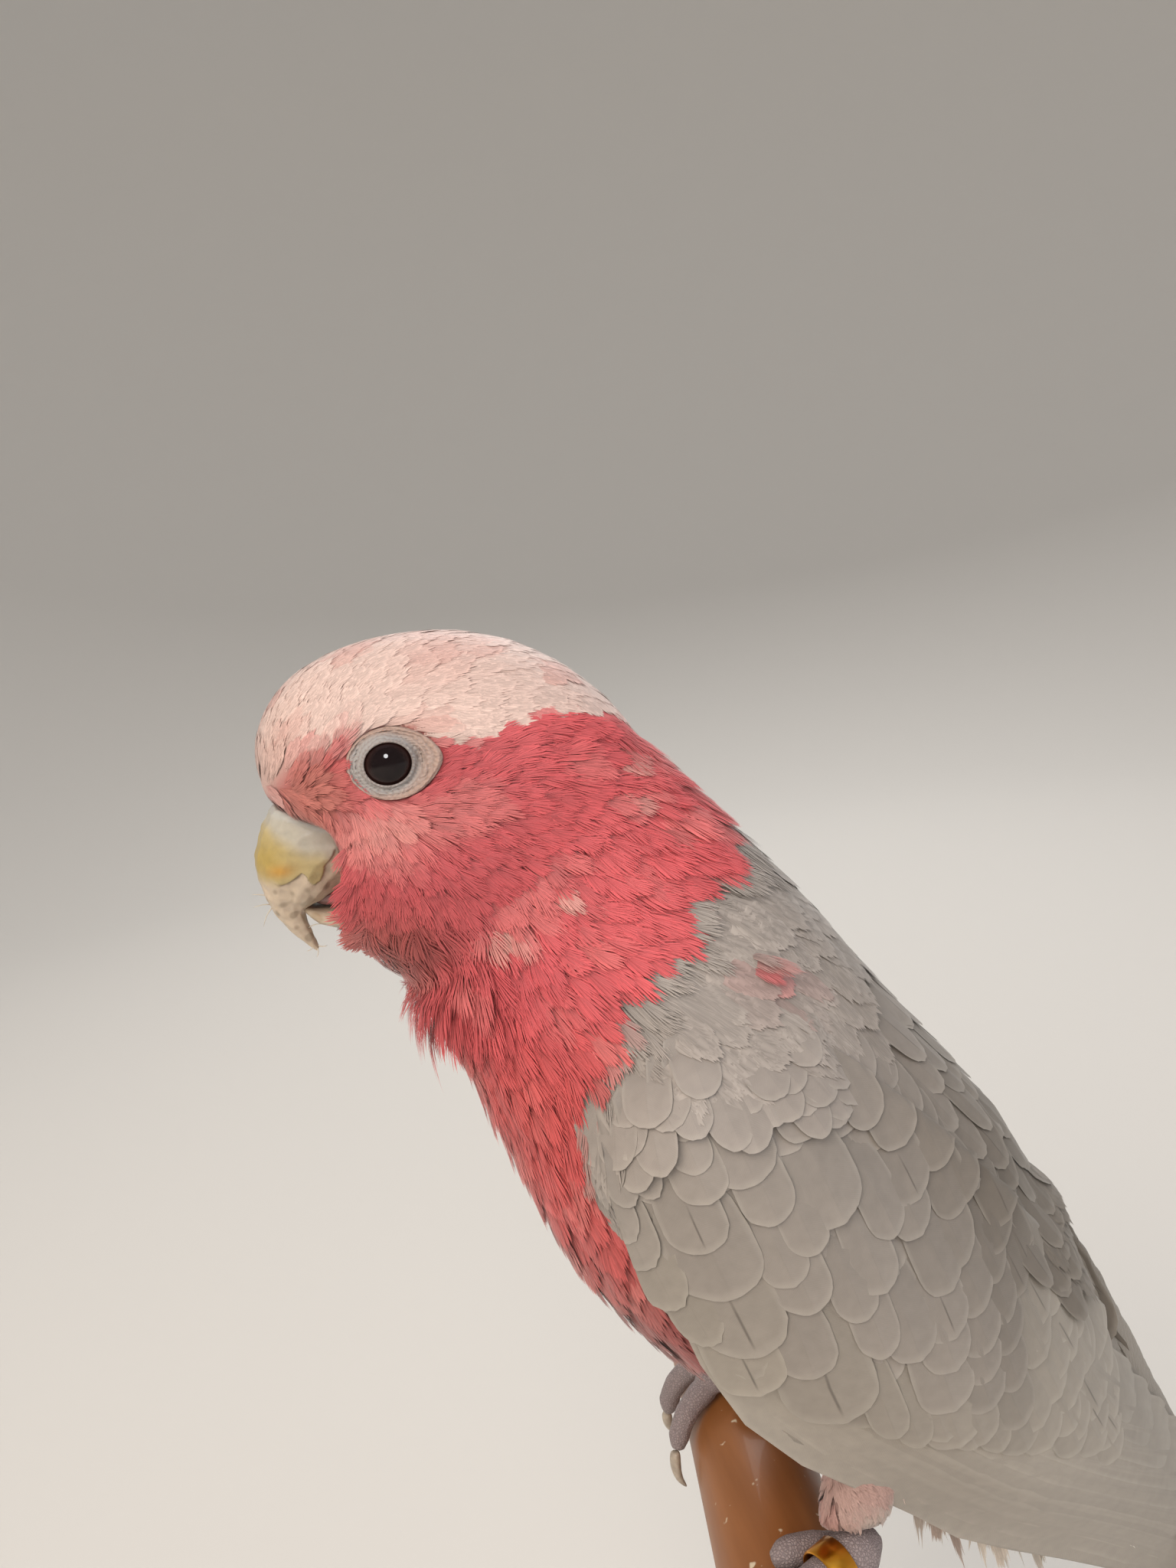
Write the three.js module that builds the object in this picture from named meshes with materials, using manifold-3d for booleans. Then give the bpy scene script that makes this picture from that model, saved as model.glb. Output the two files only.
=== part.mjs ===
// A galah (Eolophus roseicapilla) gripping a cut length of round perch on a plain display stand.
// Millimetres, +Z up. The bird's plane of symmetry is XZ, it faces -X, and its left side is -Y.
// The origin is on the flat underside of the stand's base, below the middle of the perch.
import * as THREE from "three";
import { mergeVertices } from "three/addons/utils/BufferGeometryUtils.js";
import Module from "manifold-3d";

const wasm = await Module();
wasm.setup();

const PERCH_HEIGHT = 150; // the perch's axis above the table
const PERCH_RADIUS = 14.5;
const PERCH_NEAR = -62; // the perch's ends, along its own axis
const PERCH_FAR = 80;
const PERCH_TURN = THREE.MathUtils.degToRad(10); // how far the perch runs off square to the body
const BASE_RADIUS = 88;
const BASE_THICKNESS = 12;
const BASE_SHIFT = 18; // the base's centre lies under the bird's weight, behind the perch
const ROD_RADIUS = 5;
const EYE_RADIUS = 6;
const EYE_CENTRE = new THREE.Vector3(-54.1, 15.1, 193.6);
const FOOT_SPREAD = 37; // each foot's distance along the perch from the plane of symmetry
const TARSUS_RADIUS = 4.1;
const TOE_RADIUS = 3.2;
const CLAW_LENGTH = 11;
const GAP = 0.3; // clearance between neighbouring solids
const SIDES = 20; // facets round the body
const FINE_SIDES = 14; // facets round the bill, the tongue and the tail
const FLANGE_RADIUS = 15;
const FLANGE_HEIGHT = 15;
const RING_HEIGHT = 5.6; // the leg ring's, along the leg
const RING_INNER = 4.8;
const RING_OUTER = 5.5;

const feather = (colour) => new THREE.MeshStandardMaterial({ color: colour, roughness: 0.85 });
const rose = feather(0xc9556a);
const crownPink = feather(0xe6cfc8);
const grey = feather(0xb3aeaa);
const white = feather(0xded6d0);
const scaly = new THREE.MeshStandardMaterial({ color: 0x8f8388, roughness: 0.7 });
const clawHorn = new THREE.MeshStandardMaterial({ color: 0x9a938f, roughness: 0.5 });
const billHorn = new THREE.MeshStandardMaterial({ color: 0xcfc7a4, roughness: 0.5 });
const tonguePink = new THREE.MeshStandardMaterial({ color: 0x9a6a68, roughness: 0.5 });
const eyeDark = new THREE.MeshStandardMaterial({ color: 0x1a1012, roughness: 0.1 });
const anodised = new THREE.MeshStandardMaterial({ color: 0xd08a1e, roughness: 0.3, metalness: 0.9 });
const wood = new THREE.MeshStandardMaterial({ color: 0xa8672f, roughness: 0.55 });
const painted = new THREE.MeshStandardMaterial({ color: 0x2b2a29, roughness: 0.5 });
const steel = new THREE.MeshStandardMaterial({ color: 0xa9abad, roughness: 0.35, metalness: 1 });

// ---- closed solids ----

// A closed three.js geometry as a manifold solid, turned the right way out.
function solid(geometry) {
  const bare = new THREE.BufferGeometry();
  bare.setAttribute("position", geometry.getAttribute("position"));
  bare.setIndex(geometry.getIndex());
  const merged = mergeVertices(bare, 1e-4);
  const vertProperties = new Float32Array(merged.getAttribute("position").array);
  const triVerts = new Uint32Array(merged.getIndex().array);
  const made = new wasm.Manifold(new wasm.Mesh({ numProp: 3, vertProperties, triVerts }));
  if (made.volume() > 0) return made;
  triVerts.reverse();
  return new wasm.Manifold(new wasm.Mesh({ numProp: 3, vertProperties, triVerts }));
}

// Rings of equal count skinned into one closed surface, with a fan over each end.
function loft(rings) {
  const count = rings[0].length;
  const points = rings.flat();
  const index = [];
  for (let r = 0; r + 1 < rings.length; r++) {
    for (let i = 0; i < count; i++) {
      const a = r * count + i;
      const b = r * count + ((i + 1) % count);
      index.push(a, b, a + count, b, b + count, a + count);
    }
  }
  for (const [ring, start, turn] of [
    [rings[0], 0, false],
    [rings.at(-1), (rings.length - 1) * count, true],
  ]) {
    const middle = points.length;
    points.push(ring.reduce((sum, p) => sum.add(p), new THREE.Vector3()).divideScalar(count));
    for (let i = 0; i < count; i++) {
      const a = start + i;
      const b = start + ((i + 1) % count);
      index.push(...(turn ? [a, b, middle] : [b, a, middle]));
    }
  }
  const geometry = new THREE.BufferGeometry().setFromPoints(points);
  geometry.setIndex(index);
  return solid(geometry);
}

// A rounded section between a dorsal and a ventral point; the power squares its shoulders.
function section(dorsal, ventral, halfWidth, power, grow = 0, sides = SIDES) {
  const middle = dorsal.clone().add(ventral).multiplyScalar(0.5);
  const half = dorsal.clone().sub(middle);
  half.setLength(half.length() + grow);
  const shaped = (value) => Math.sign(value) * Math.abs(value) ** (2 / power);
  return Array.from({ length: sides }, (_, i) => {
    const angle = (2 * Math.PI * i) / sides;
    const point = middle.clone().addScaledVector(half, shaped(Math.cos(angle)));
    point.y += (halfWidth + grow) * shaped(Math.sin(angle));
    return point;
  });
}

// Smooth curves through matching columns of a table, read at evenly spaced stations.
function stations(rows, count) {
  const columns = rows[0].map((_, c) => rows.map((row) => row[c]));
  const curves = columns.map(
    (column) => new THREE.CatmullRomCurve3(column.map((value, i) => new THREE.Vector3(i, value, 0))),
  );
  return Array.from({ length: count }, (_, i) => {
    return curves.map((curve) => curve.getPoint(i / (count - 1)).y);
  });
}

const across = (x, z) => new THREE.Vector3(x, 0, z);
const largest = (body) => body.decompose().sort((a, b) => b.volume() - a.volume())[0];

// Half of a body on one side of a plane through two points of the XZ plane; side is +1 or -1.
function beyond(body, from, to, side) {
  const along = new THREE.Vector2(to[0] - from[0], to[1] - from[1]).normalize();
  const size = 600;
  const block = new THREE.BoxGeometry(size, size, size);
  const shift = side * (size / 2 + GAP / 2);
  block.rotateY(-Math.atan2(along.y, along.x));
  block.translate(
    (from[0] + to[0]) / 2 - along.y * shift,
    0,
    (from[1] + to[1]) / 2 + along.x * shift,
  );
  return largest(body.intersect(solid(block)));
}

// A tube along points with a radius at each.
function tube(path, radii, sides) {
  const curve = new THREE.CatmullRomCurve3(path);
  const frames = curve.computeFrenetFrames(radii.length - 1, false);
  const rings = radii.map((radius, i) => {
    const centre = curve.getPointAt(i / (radii.length - 1));
    return Array.from({ length: sides }, (_, s) => {
      const angle = (2 * Math.PI * s) / sides;
      return centre
        .clone()
        .addScaledVector(frames.normals[i], radius * Math.cos(angle))
        .addScaledVector(frames.binormals[i], radius * Math.sin(angle));
    });
  });
  return loft(rings);
}

// ---- head, neck and trunk: one body, parted by thin cuts ----

// Front to back of the skull: place along X, crown, throat, half-width.
const HEAD_ROWS = [
  [-77.6, 196.5, 190.5, 3.5],
  [-76, 202.5, 186.5, 9],
  [-71.5, 208.5, 178, 14.5],
  [-66, 212.2, 159, 18],
  [-58, 215, 148.5, 20.4],
  [-47, 216.2, 145.5, 22],
  [-35, 215, 147, 23],
  [-23, 210.7, 153, 22.5],
  [-11, 201.2, 164, 18],
  [-3, 188, 176, 9],
];

// Nape to undertail: dorsal X and Z, ventral X and Z, half-width.
const TRUNK_ROWS = [
  [-13, 201, -50, 153, 19],
  [6, 177, -55, 144, 25],
  [24, 151.5, -49.5, 126, 33],
  [43, 122, -43.5, 104, 38],
  [60.5, 97, -35, 79, 39],
  [70, 71, -16, 54, 36],
  [76.5, 42, 14, 32, 29.5],
  [86, 13, 45, 10.5, 21],
  [98, -13, 76, -17, 9],
];

const headSolid = (grow) =>
  loft(
    stations(HEAD_ROWS, 13).map(([x, crown, throat, halfWidth]) =>
      section(across(x, crown), across(x, throat), halfWidth, 2.15, grow),
    ),
  );

const trunkSolid = (grow) =>
  loft(
    stations(TRUNK_ROWS, 17).map(([dx, dz, vx, vz, halfWidth]) =>
      section(across(dx, dz), across(vx, vz), halfWidth, 2.25, grow),
    ),
  );

// The bill's seat, in outline: the feathered face ends at its back edge, from the forehead
// down to the chin, and all in front of that belongs to the bill and the open mouth.
const SEAT_OUTLINE = [
  [-110, 188.6],
  [-80, 188.6],
  [-75.5, 187.6],
  [-70, 185],
  [-65.6, 184],
  [-64.6, 174],
  [-65.2, 160],
  [-80, 150],
  [-110, 150],
];
const SEAT_WIDTH = 60;

function billSeat(grow) {
  const outline = SEAT_OUTLINE.map(([x, z]) => new THREE.Vector2(x + grow, z + grow));
  const sides = { depth: SEAT_WIDTH, bevelEnabled: false };
  const block = new THREE.ExtrudeGeometry(new THREE.Shape(outline), sides);
  block.translate(0, 0, -SEAT_WIDTH / 2);
  block.rotateX(Math.PI / 2);
  return solid(block);
}

const wholeBody = headSolid(0).add(trunkSolid(0)).subtract(billSeat(0));
const bodyClearance = headSolid(GAP).add(trunkSolid(GAP)).subtract(billSeat(-GAP));

const HEAD_CUT = [
  [-60, 136],
  [4, 196],
];
const NECK_CUT = [
  [-56, 122],
  [30, 160],
];

function eyeball(side, grow) {
  const ball = new THREE.SphereGeometry(EYE_RADIUS + grow, 14, 8);
  ball.translate(EYE_CENTRE.x, side * EYE_CENTRE.y, EYE_CENTRE.z);
  return solid(ball);
}

const sockets = eyeball(-1, GAP).add(eyeball(1, GAP));
const head = beyond(wholeBody, ...HEAD_CUT, 1).subtract(sockets);
const neck = beyond(beyond(wholeBody, ...HEAD_CUT, -1), ...NECK_CUT, 1);
const trunk = beyond(wholeBody, ...NECK_CUT, -1);

// ---- bill and tongue ----

// Base to tip of the hooked upper bill: culmen X and Z, cutting edge X and Z, half-width.
const UPPER_BILL_ROWS = [
  [-66, 190.5, -59, 171.5, 9.9],
  [-75.8, 187.4, -64.4, 171.9, 9.6],
  [-80.8, 176.5, -68.6, 170.8, 7.8],
  [-79.9, 168.8, -73.6, 168.6, 4.6],
  [-76.8, 162.6, -73.4, 163.8, 2.2],
  [-73.1, 158, -72.5, 158.6, 0.6],
];
const LOWER_BILL_ROWS = [
  [-58, 165.2, -58, 160.5, 7.4],
  [-66.5, 165.6, -66, 162.2, 7],
  [-71.6, 166.6, -71, 164, 5.2],
  [-73.6, 167.4, -73.3, 166.4, 2.6],
];
const TONGUE_ROWS = [
  [-60, 169.5, -60, 166.6, 3.6],
  [-67, 169.8, -67, 166.6, 3.8],
  [-70.6, 169.9, -70.6, 167.4, 3],
  [-71.9, 169.4, -71.8, 168.5, 1.4],
];

const hookedPiece = (rows, count, power) =>
  largest(
    loft(
      stations(rows, count).map(([dx, dz, vx, vz, halfWidth]) =>
        section(across(dx, dz), across(vx, vz), halfWidth, power, 0, FINE_SIDES),
      ),
    ).subtract(bodyClearance),
  );

const upperBill = hookedPiece(UPPER_BILL_ROWS, 12, 2.5);
const lowerBill = hookedPiece(LOWER_BILL_ROWS, 7, 2.6);
const tongue = hookedPiece(TONGUE_ROWS, 6, 2.4);

// ---- folded wings ----

// Wrist to tip: leading edge X and Z, back edge X and Z, then how far out the leading edge,
// the middle and the back edge stand, and the depth of the solid.
const WING_ROWS = [
  [-32.5, 113, -27, 129, 32, 33.5, 32, 7],
  [-31, 101, -10, 146, 35, 42, 27, 14],
  [-20, 75, 11, 147, 36, 46, 24.5, 17],
  [-5, 51, 31, 123, 34.5, 47, 21, 17],
  [13, 34, 49, 101, 31, 45, 17, 15],
  [36, 9, 69.5, 76, 24.5, 37, 12, 12],
  [67, -15, 86, 42, 16, 25, 6.5, 8],
  [97, -38, 102, 2, 9.5, 15.5, 4, 4],
  [120, -56, 124, -48, 7, 8, 4.5, 2],
];

function wing(side, grow) {
  const facets = 7;
  const rings = stations(WING_ROWS, 15).map((row) => {
    const [lx, lz, ux, uz, edgeOut, middleOut, backOut, depth] = row;
    const bulge = 2 * middleOut - (edgeOut + backOut) / 2;
    const chord = new THREE.Vector3(ux - lx, 0, uz - lz).setLength(grow);
    const outer = new THREE.QuadraticBezierCurve3(
      new THREE.Vector3(lx, edgeOut + grow, lz).sub(chord),
      new THREE.Vector3((lx + ux) / 2, bulge + grow, (lz + uz) / 2),
      new THREE.Vector3(ux, backOut + grow, uz).add(chord),
    );
    const skin = outer.getPoints(facets);
    const lining = skin.map((p, i) => {
      const share = 0.12 + 0.88 * Math.sin((Math.PI * i) / facets);
      const through = Math.max(depth * share, 1) + 2 * grow;
      return p.clone().setY(Math.max(p.y - through, GAP - grow));
    });
    return [...skin, ...lining.reverse()].map((p) => p.setY(side * p.y));
  });
  return loft(rings);
}

const wings = [-1, 1].map((side) => largest(wing(side, 0).subtract(bodyClearance)));
const wingClearance = wing(-1, GAP).add(wing(1, GAP));

// ---- tail ----

const TAIL_ROOT = [76, 10];
const TAIL_TIP = [146, -92];

function tailRing(share) {
  const run = new THREE.Vector3(TAIL_TIP[0] - TAIL_ROOT[0], 0, TAIL_TIP[1] - TAIL_ROOT[1]);
  const up = new THREE.Vector3(-run.z, 0, run.x).normalize();
  const roundTip = Math.sqrt(1 - Math.max(0, (share - 0.9) / 0.104) ** 2);
  const halfWidth = (12 + 9 * Math.sin(share * 1.7)) * roundTip;
  const halfDepth = THREE.MathUtils.lerp(6, 1.3, Math.min(share / 0.7, 1));
  const centre = across(...TAIL_ROOT).addScaledVector(run, share);
  const ring = section(
    centre.clone().addScaledVector(up, halfDepth),
    centre.clone().addScaledVector(up, -halfDepth),
    halfWidth,
    2.6,
    0,
    FINE_SIDES,
  );
  const roof = 2.2 * share; // the outer feathers lie lower than the middle pair
  return ring.map((p) => p.addScaledVector(up, -roof * (p.y / 20) ** 2));
}

const TAIL_STATIONS = [0, 0.15, 0.3, 0.45, 0.6, 0.75, 0.88, 0.94, 0.975, 0.995];
const tail = largest(loft(TAIL_STATIONS.map(tailRing)).subtract(bodyClearance).subtract(wingClearance));

// ---- legs and feet, each set out from the perch's axis at its own side ----

// A point round the perch: lateral place, angle from straight behind over the top, and radius.
function roundPerch(lateral, angle, radius) {
  const out = new THREE.Vector3(Math.cos(angle) * radius, lateral, Math.sin(angle) * radius);
  return out.applyAxisAngle(new THREE.Vector3(0, 0, 1), -PERCH_TURN);
}

// A leg's joint, with x and z measured from the perch's axis where it passes under that joint.
const legPoint = (side, x, y, z) =>
  new THREE.Vector3(x + side * y * Math.tan(PERCH_TURN), side * y, z);

const HEEL = [16.4, FOOT_SPREAD - 8.5, 19.8];
const PALM = [-5, FOOT_SPREAD, 18.8];

function tarsus(side, grow) {
  const [heel, palm] = [HEEL, PALM].map((place) => legPoint(side, ...place));
  const before = heel.clone().lerp(palm, -0.08);
  const radii = [2, 4.4, 4.9, TARSUS_RADIUS, TARSUS_RADIUS, TARSUS_RADIUS, 4.2, 3.6];
  const shank = tube([before, heel, palm], radii.map((radius) => radius + grow), 12);
  const pad = new THREE.SphereGeometry(1, 10, 8);
  pad.scale(5.6 + grow, 8.8 + grow, 4.1 + grow);
  pad.rotateZ(-PERCH_TURN);
  pad.translate(palm.x, palm.y, palm.z);
  return shank.add(solid(pad));
}

function thigh(side) {
  const heel = legPoint(side, ...HEEL);
  const hip = new THREE.Vector3(20, side * 17, 64);
  const knee = new THREE.Vector3(heel.x + side * -1.5, side * 25, 41);
  const path = [hip, knee, heel.clone().add(new THREE.Vector3(0, 0, 5))];
  const feathered = tube(path, [14, 13, 10.8, 9, 7.8, 6.9, 6.2], 16);
  const others = bodyClearance.add(wingClearance).add(tarsus(side, GAP));
  return largest(feathered.subtract(others));
}

// Each toe: its name, which way it goes over the perch (+1 behind, -1 in front), where it leaves
// the palm and how far it spreads to its tip, sideways from the foot's middle, and its reach.
const TOES = [
  ["inner_front", -1, -4.2, -8.5, 1.05],
  ["outer_front", -1, 4.2, 9, 1.2],
  ["inner_back", 1, -12.4, -16.5, 0.85],
  ["outer_back", 1, 9, 13.5, 1.05],
];
const TOE_STEPS = 8;

function toePath(side, [, way, leave, tip, reach]) {
  const start = Math.PI / 2 + (way < 0 ? 0.3 : 0.18);
  return (share) => {
    const lateral = side * (FOOT_SPREAD + THREE.MathUtils.lerp(leave, tip, share));
    const angle = start - way * reach * share;
    return roundPerch(lateral, angle, PERCH_RADIUS + GAP + TOE_RADIUS + 0.4);
  };
}

function toe(side, kind) {
  const path = toePath(side, kind);
  const points = Array.from({ length: TOE_STEPS }, (_, i) => path(i / (TOE_STEPS - 1)));
  const radii = points.map((_, i) => TOE_RADIUS * (1 - 0.035 * i - 0.06 * (i % 2)));
  const whole = tube(points, [1.6, ...radii.slice(1, -1), 1.5], 8);
  return largest(whole.subtract(tarsus(side, GAP)));
}

// A claw springs from the toe's tip and hooks down and inward to a point.
function claw(side, kind) {
  const path = toePath(side, kind);
  const tip = path(1);
  const forward = tip.clone().sub(path(0.93)).normalize();
  tip.addScaledVector(forward, GAP * 2);
  const inward = new THREE.Vector3(0, 0, tip.z * -1).setX(-tip.x).normalize();
  const bend = [0.02, 0.34, 0.68, 1].map((share) =>
    tip
      .clone()
      .addScaledVector(forward, CLAW_LENGTH * Math.sin(share * 1.15) * 0.9)
      .addScaledVector(inward, CLAW_LENGTH * 0.34 * share ** 2 - 0.6),
  );
  return tube(bend, [1.4, 1.6, 1.35, 0.95, 0.3], 7);
}

// A flat band round the ringed leg, a loose fit, with its axis along the tarsus.
function legRing(side) {
  const [heel, palm] = [HEEL, PALM].map((place) => legPoint(side, ...place));
  const [inner, outer, half] = [RING_INNER, RING_OUTER, RING_HEIGHT / 2];
  const round = 0.25;
  const profile = [
    [inner, -half + round],
    [inner + round, -half],
    [outer - round, -half],
    [outer, -half + round],
    [outer, half - round],
    [outer - round, half],
    [inner + round, half],
    [inner, half - round],
    [inner, -half + round],
  ].map(([r, y]) => new THREE.Vector2(r, y));
  const band = new THREE.LatheGeometry(profile, 20);
  const axis = palm.clone().sub(heel).normalize();
  band.applyQuaternion(new THREE.Quaternion().setFromUnitVectors(new THREE.Vector3(0, 1, 0), axis));
  const centre = heel.clone().lerp(palm, 0.42);
  band.translate(centre.x, centre.y, centre.z + GAP);
  return solid(band);
}

// ---- perch and stand ----

function perchRod() {
  const bevel = 1.2;
  const profile = [
    [0, PERCH_NEAR],
    [PERCH_RADIUS - bevel, PERCH_NEAR],
    [PERCH_RADIUS, PERCH_NEAR + bevel],
    [PERCH_RADIUS, PERCH_FAR - bevel],
    [PERCH_RADIUS - bevel, PERCH_FAR],
    [0, PERCH_FAR],
  ].map(([r, y]) => new THREE.Vector2(r, y));
  const rod = new THREE.LatheGeometry(profile, 28);
  rod.rotateZ(-PERCH_TURN);
  return solid(rod);
}

function standRod() {
  const rod = new THREE.CylinderGeometry(ROD_RADIUS, ROD_RADIUS, PERCH_HEIGHT - BASE_THICKNESS, 24);
  rod.rotateX(Math.PI / 2);
  rod.translate(0, 0, (PERCH_HEIGHT + BASE_THICKNESS) / 2 + GAP);
  const seat = new THREE.CylinderGeometry(PERCH_RADIUS + GAP, PERCH_RADIUS + GAP, 60, 28);
  seat.rotateZ(-PERCH_TURN);
  seat.translate(0, 0, PERCH_HEIGHT);
  return largest(solid(rod).subtract(solid(seat)));
}

function turned(profile, facets) {
  const geometry = new THREE.LatheGeometry(
    profile.map(([r, z]) => new THREE.Vector2(r, z)),
    facets,
  );
  geometry.rotateX(Math.PI / 2);
  return solid(geometry);
}

function standFlange() {
  const bore = ROD_RADIUS + GAP;
  const foot = BASE_THICKNESS + GAP;
  return turned(
    [
      [bore, foot],
      [FLANGE_RADIUS, foot],
      [FLANGE_RADIUS, foot + 3],
      [FLANGE_RADIUS - 6, foot + 5.5],
      [FLANGE_RADIUS - 7, foot + FLANGE_HEIGHT],
      [bore, foot + FLANGE_HEIGHT],
      [bore, foot],
    ],
    28,
  );
}

function standBase() {
  const edge = 2.5;
  return turned(
    [
      [0, 0],
      [BASE_RADIUS - 1, 0],
      [BASE_RADIUS, 1],
      [BASE_RADIUS, BASE_THICKNESS - edge],
      [BASE_RADIUS - edge * 0.3, BASE_THICKNESS - edge * 0.3],
      [BASE_RADIUS - edge, BASE_THICKNESS],
      [0, BASE_THICKNESS],
    ],
    36,
  );
}

// ---- the scene graph ----

function meshed(name, body, material) {
  const { vertProperties, triVerts } = body.getMesh();
  const geometry = new THREE.BufferGeometry();
  geometry.setAttribute("position", new THREE.BufferAttribute(new Float32Array(vertProperties), 3));
  geometry.setIndex(new THREE.BufferAttribute(new Uint32Array(triVerts), 1));
  geometry.computeVertexNormals();
  const mesh = new THREE.Mesh(geometry, material);
  mesh.name = name;
  return mesh;
}

const bird = new THREE.Group();
bird.position.z = PERCH_HEIGHT;
bird.add(meshed("head", head, crownPink));
bird.add(meshed("neck", neck, rose));
bird.add(meshed("trunk", trunk, rose));
bird.add(meshed("tail", tail, grey));
bird.add(meshed("bill_upper", upperBill, billHorn));
bird.add(meshed("bill_lower", lowerBill, billHorn));
bird.add(meshed("tongue", tongue, tonguePink));
bird.add(meshed("leg_ring", legRing(-1), anodised));
bird.add(meshed("perch", perchRod(), wood));

for (const [name, side, i] of [
  ["left", -1, 0],
  ["right", 1, 1],
]) {
  bird.add(meshed("eye_" + name, eyeball(side, 0), eyeDark));
  bird.add(meshed("wing_" + name, wings[i], grey));
  bird.add(meshed("thigh_" + name, thigh(side), white));
  bird.add(meshed("tarsus_" + name, tarsus(side, 0), scaly));
  TOES.forEach((kind) => {
    bird.add(meshed("toe_" + name + "_" + kind[0], toe(side, kind), scaly));
    bird.add(meshed("claw_" + name + "_" + kind[0], claw(side, kind), clawHorn));
  });
}

const base = meshed("stand_base", standBase(), painted);
base.position.x = BASE_SHIFT;

const galah = new THREE.Group();
galah.add(bird);
galah.add(meshed("stand_rod", standRod(), steel));
galah.add(meshed("stand_flange", standFlange(), steel));
galah.add(base);

export default galah;
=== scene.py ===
"""A galah, Eolophus roseicapilla, gripping a cut length of round wooden perch, as a
life-size museum model on a plain display stand.

The script follows the model as it is put together: the stand, the perch, the skin with
its scaly feet, the claws and the leg ring, the bill, the eyes, and then the coat, from
the face back to the tail. The bird faces -X, its left side is -Y, and lengths in the
tables are millimetres.
"""
import math

import bmesh
import bpy
import numpy as np
from mathutils import Matrix, Vector
from mathutils.bvhtree import BVHTree
from mathutils.kdtree import KDTree


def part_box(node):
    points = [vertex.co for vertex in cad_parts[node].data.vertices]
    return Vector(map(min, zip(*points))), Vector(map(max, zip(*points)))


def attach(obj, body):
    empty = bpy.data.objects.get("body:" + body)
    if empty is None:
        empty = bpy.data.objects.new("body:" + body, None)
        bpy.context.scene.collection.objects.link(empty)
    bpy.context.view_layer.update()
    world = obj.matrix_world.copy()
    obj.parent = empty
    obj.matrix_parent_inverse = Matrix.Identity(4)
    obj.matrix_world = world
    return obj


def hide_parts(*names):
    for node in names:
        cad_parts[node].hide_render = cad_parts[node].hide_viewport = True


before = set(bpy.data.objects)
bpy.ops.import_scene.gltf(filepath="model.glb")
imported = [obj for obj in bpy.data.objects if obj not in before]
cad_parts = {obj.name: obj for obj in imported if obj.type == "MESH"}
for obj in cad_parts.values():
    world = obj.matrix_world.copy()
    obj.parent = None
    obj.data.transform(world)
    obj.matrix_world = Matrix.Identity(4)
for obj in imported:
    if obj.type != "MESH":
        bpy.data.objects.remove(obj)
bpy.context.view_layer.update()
MM = 0.001


# ---------------------------------------------------------------- the studio
# A pale floor that sweeps up into a tall wall all round, under large soft lamps, with
# the camera close in front of the bird's left side, a little above its head.

def node(tree, kind, inputs=(), **settings):
    """Adds one node: inputs are (socket, value) pairs, and a value may be another node's output."""
    made = tree.nodes.new(kind)
    for name, value in settings.items():
        setattr(made, name, value)
    for name, value in inputs:
        if isinstance(value, bpy.types.NodeSocket):
            tree.links.new(value, made.inputs[name])
        else:
            made.inputs[name].default_value = value
    return made


def linear(code):
    """The linear colour of an sRGB hex value."""
    parts = [int(code[i:i + 2], 16) / 255 for i in (1, 3, 5)]
    return [c / 12.92 if c <= 0.04045 else ((c + 0.055) / 1.055) ** 2.4 for c in parts]


def material(name, colour, roughness, **shader):
    """A new material and its shader, with a plain colour until a pattern is linked to it."""
    made = bpy.data.materials.new(name)
    made.use_nodes = True
    surface = made.node_tree.nodes["Principled BSDF"]
    surface.inputs["Base Color"].default_value = (*linear(colour), 1)
    surface.inputs["Roughness"].default_value = roughness
    for key, value in shader.items():
        surface.inputs[key.replace("_", " ")].default_value = value
    return made, surface


def shown(name, bm, finish):
    """Turns a bmesh into an object of the scene."""
    mesh = bpy.data.meshes.new(name)
    bm.to_mesh(mesh)
    bm.free()
    mesh.materials.append(finish)
    mesh.polygons.foreach_set("use_smooth", [True] * len(mesh.polygons))
    made = bpy.data.objects.new(name, mesh)
    bpy.context.scene.collection.objects.link(made)
    return made


FLOOR_RADIUS, WALL_HEIGHT, SWEEP_RADIUS = 1500 * MM, 4200 * MM, 1700 * MM
SWEEP_STEPS = 24
FLOOR_COLOUR = "#D9D5CF"

# Uncoated paper has no shine, so the floor shows only soft shadows.
sweep = bmesh.new()
bmesh.ops.create_circle(sweep, cap_ends=True, segments=96, radius=FLOOR_RADIUS)
rim = [edge for edge in sweep.edges if edge.is_boundary]
for step in range(SWEEP_STEPS + 1):
    turn = min(step + 1, SWEEP_STEPS) / SWEEP_STEPS * math.pi / 2
    grown = bmesh.ops.extrude_edge_only(sweep, edges=rim)["geom"]
    rim = [part for part in grown if isinstance(part, bmesh.types.BMEdge)]
    rim_height = SWEEP_RADIUS * (1 - math.cos(turn))
    if step == SWEEP_STEPS:
        rim_height = WALL_HEIGHT
    rim_radius = FLOOR_RADIUS + SWEEP_RADIUS * math.sin(turn)
    for part in grown:
        if isinstance(part, bmesh.types.BMVert):
            flat = Vector((part.co.x, part.co.y, 0)).normalized() * rim_radius
            part.co = (flat.x, flat.y, rim_height)
paper, _ = material("matt studio paper", FLOOR_COLOUR, 0.9)
floor = shown("floor", sweep, paper)

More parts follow.
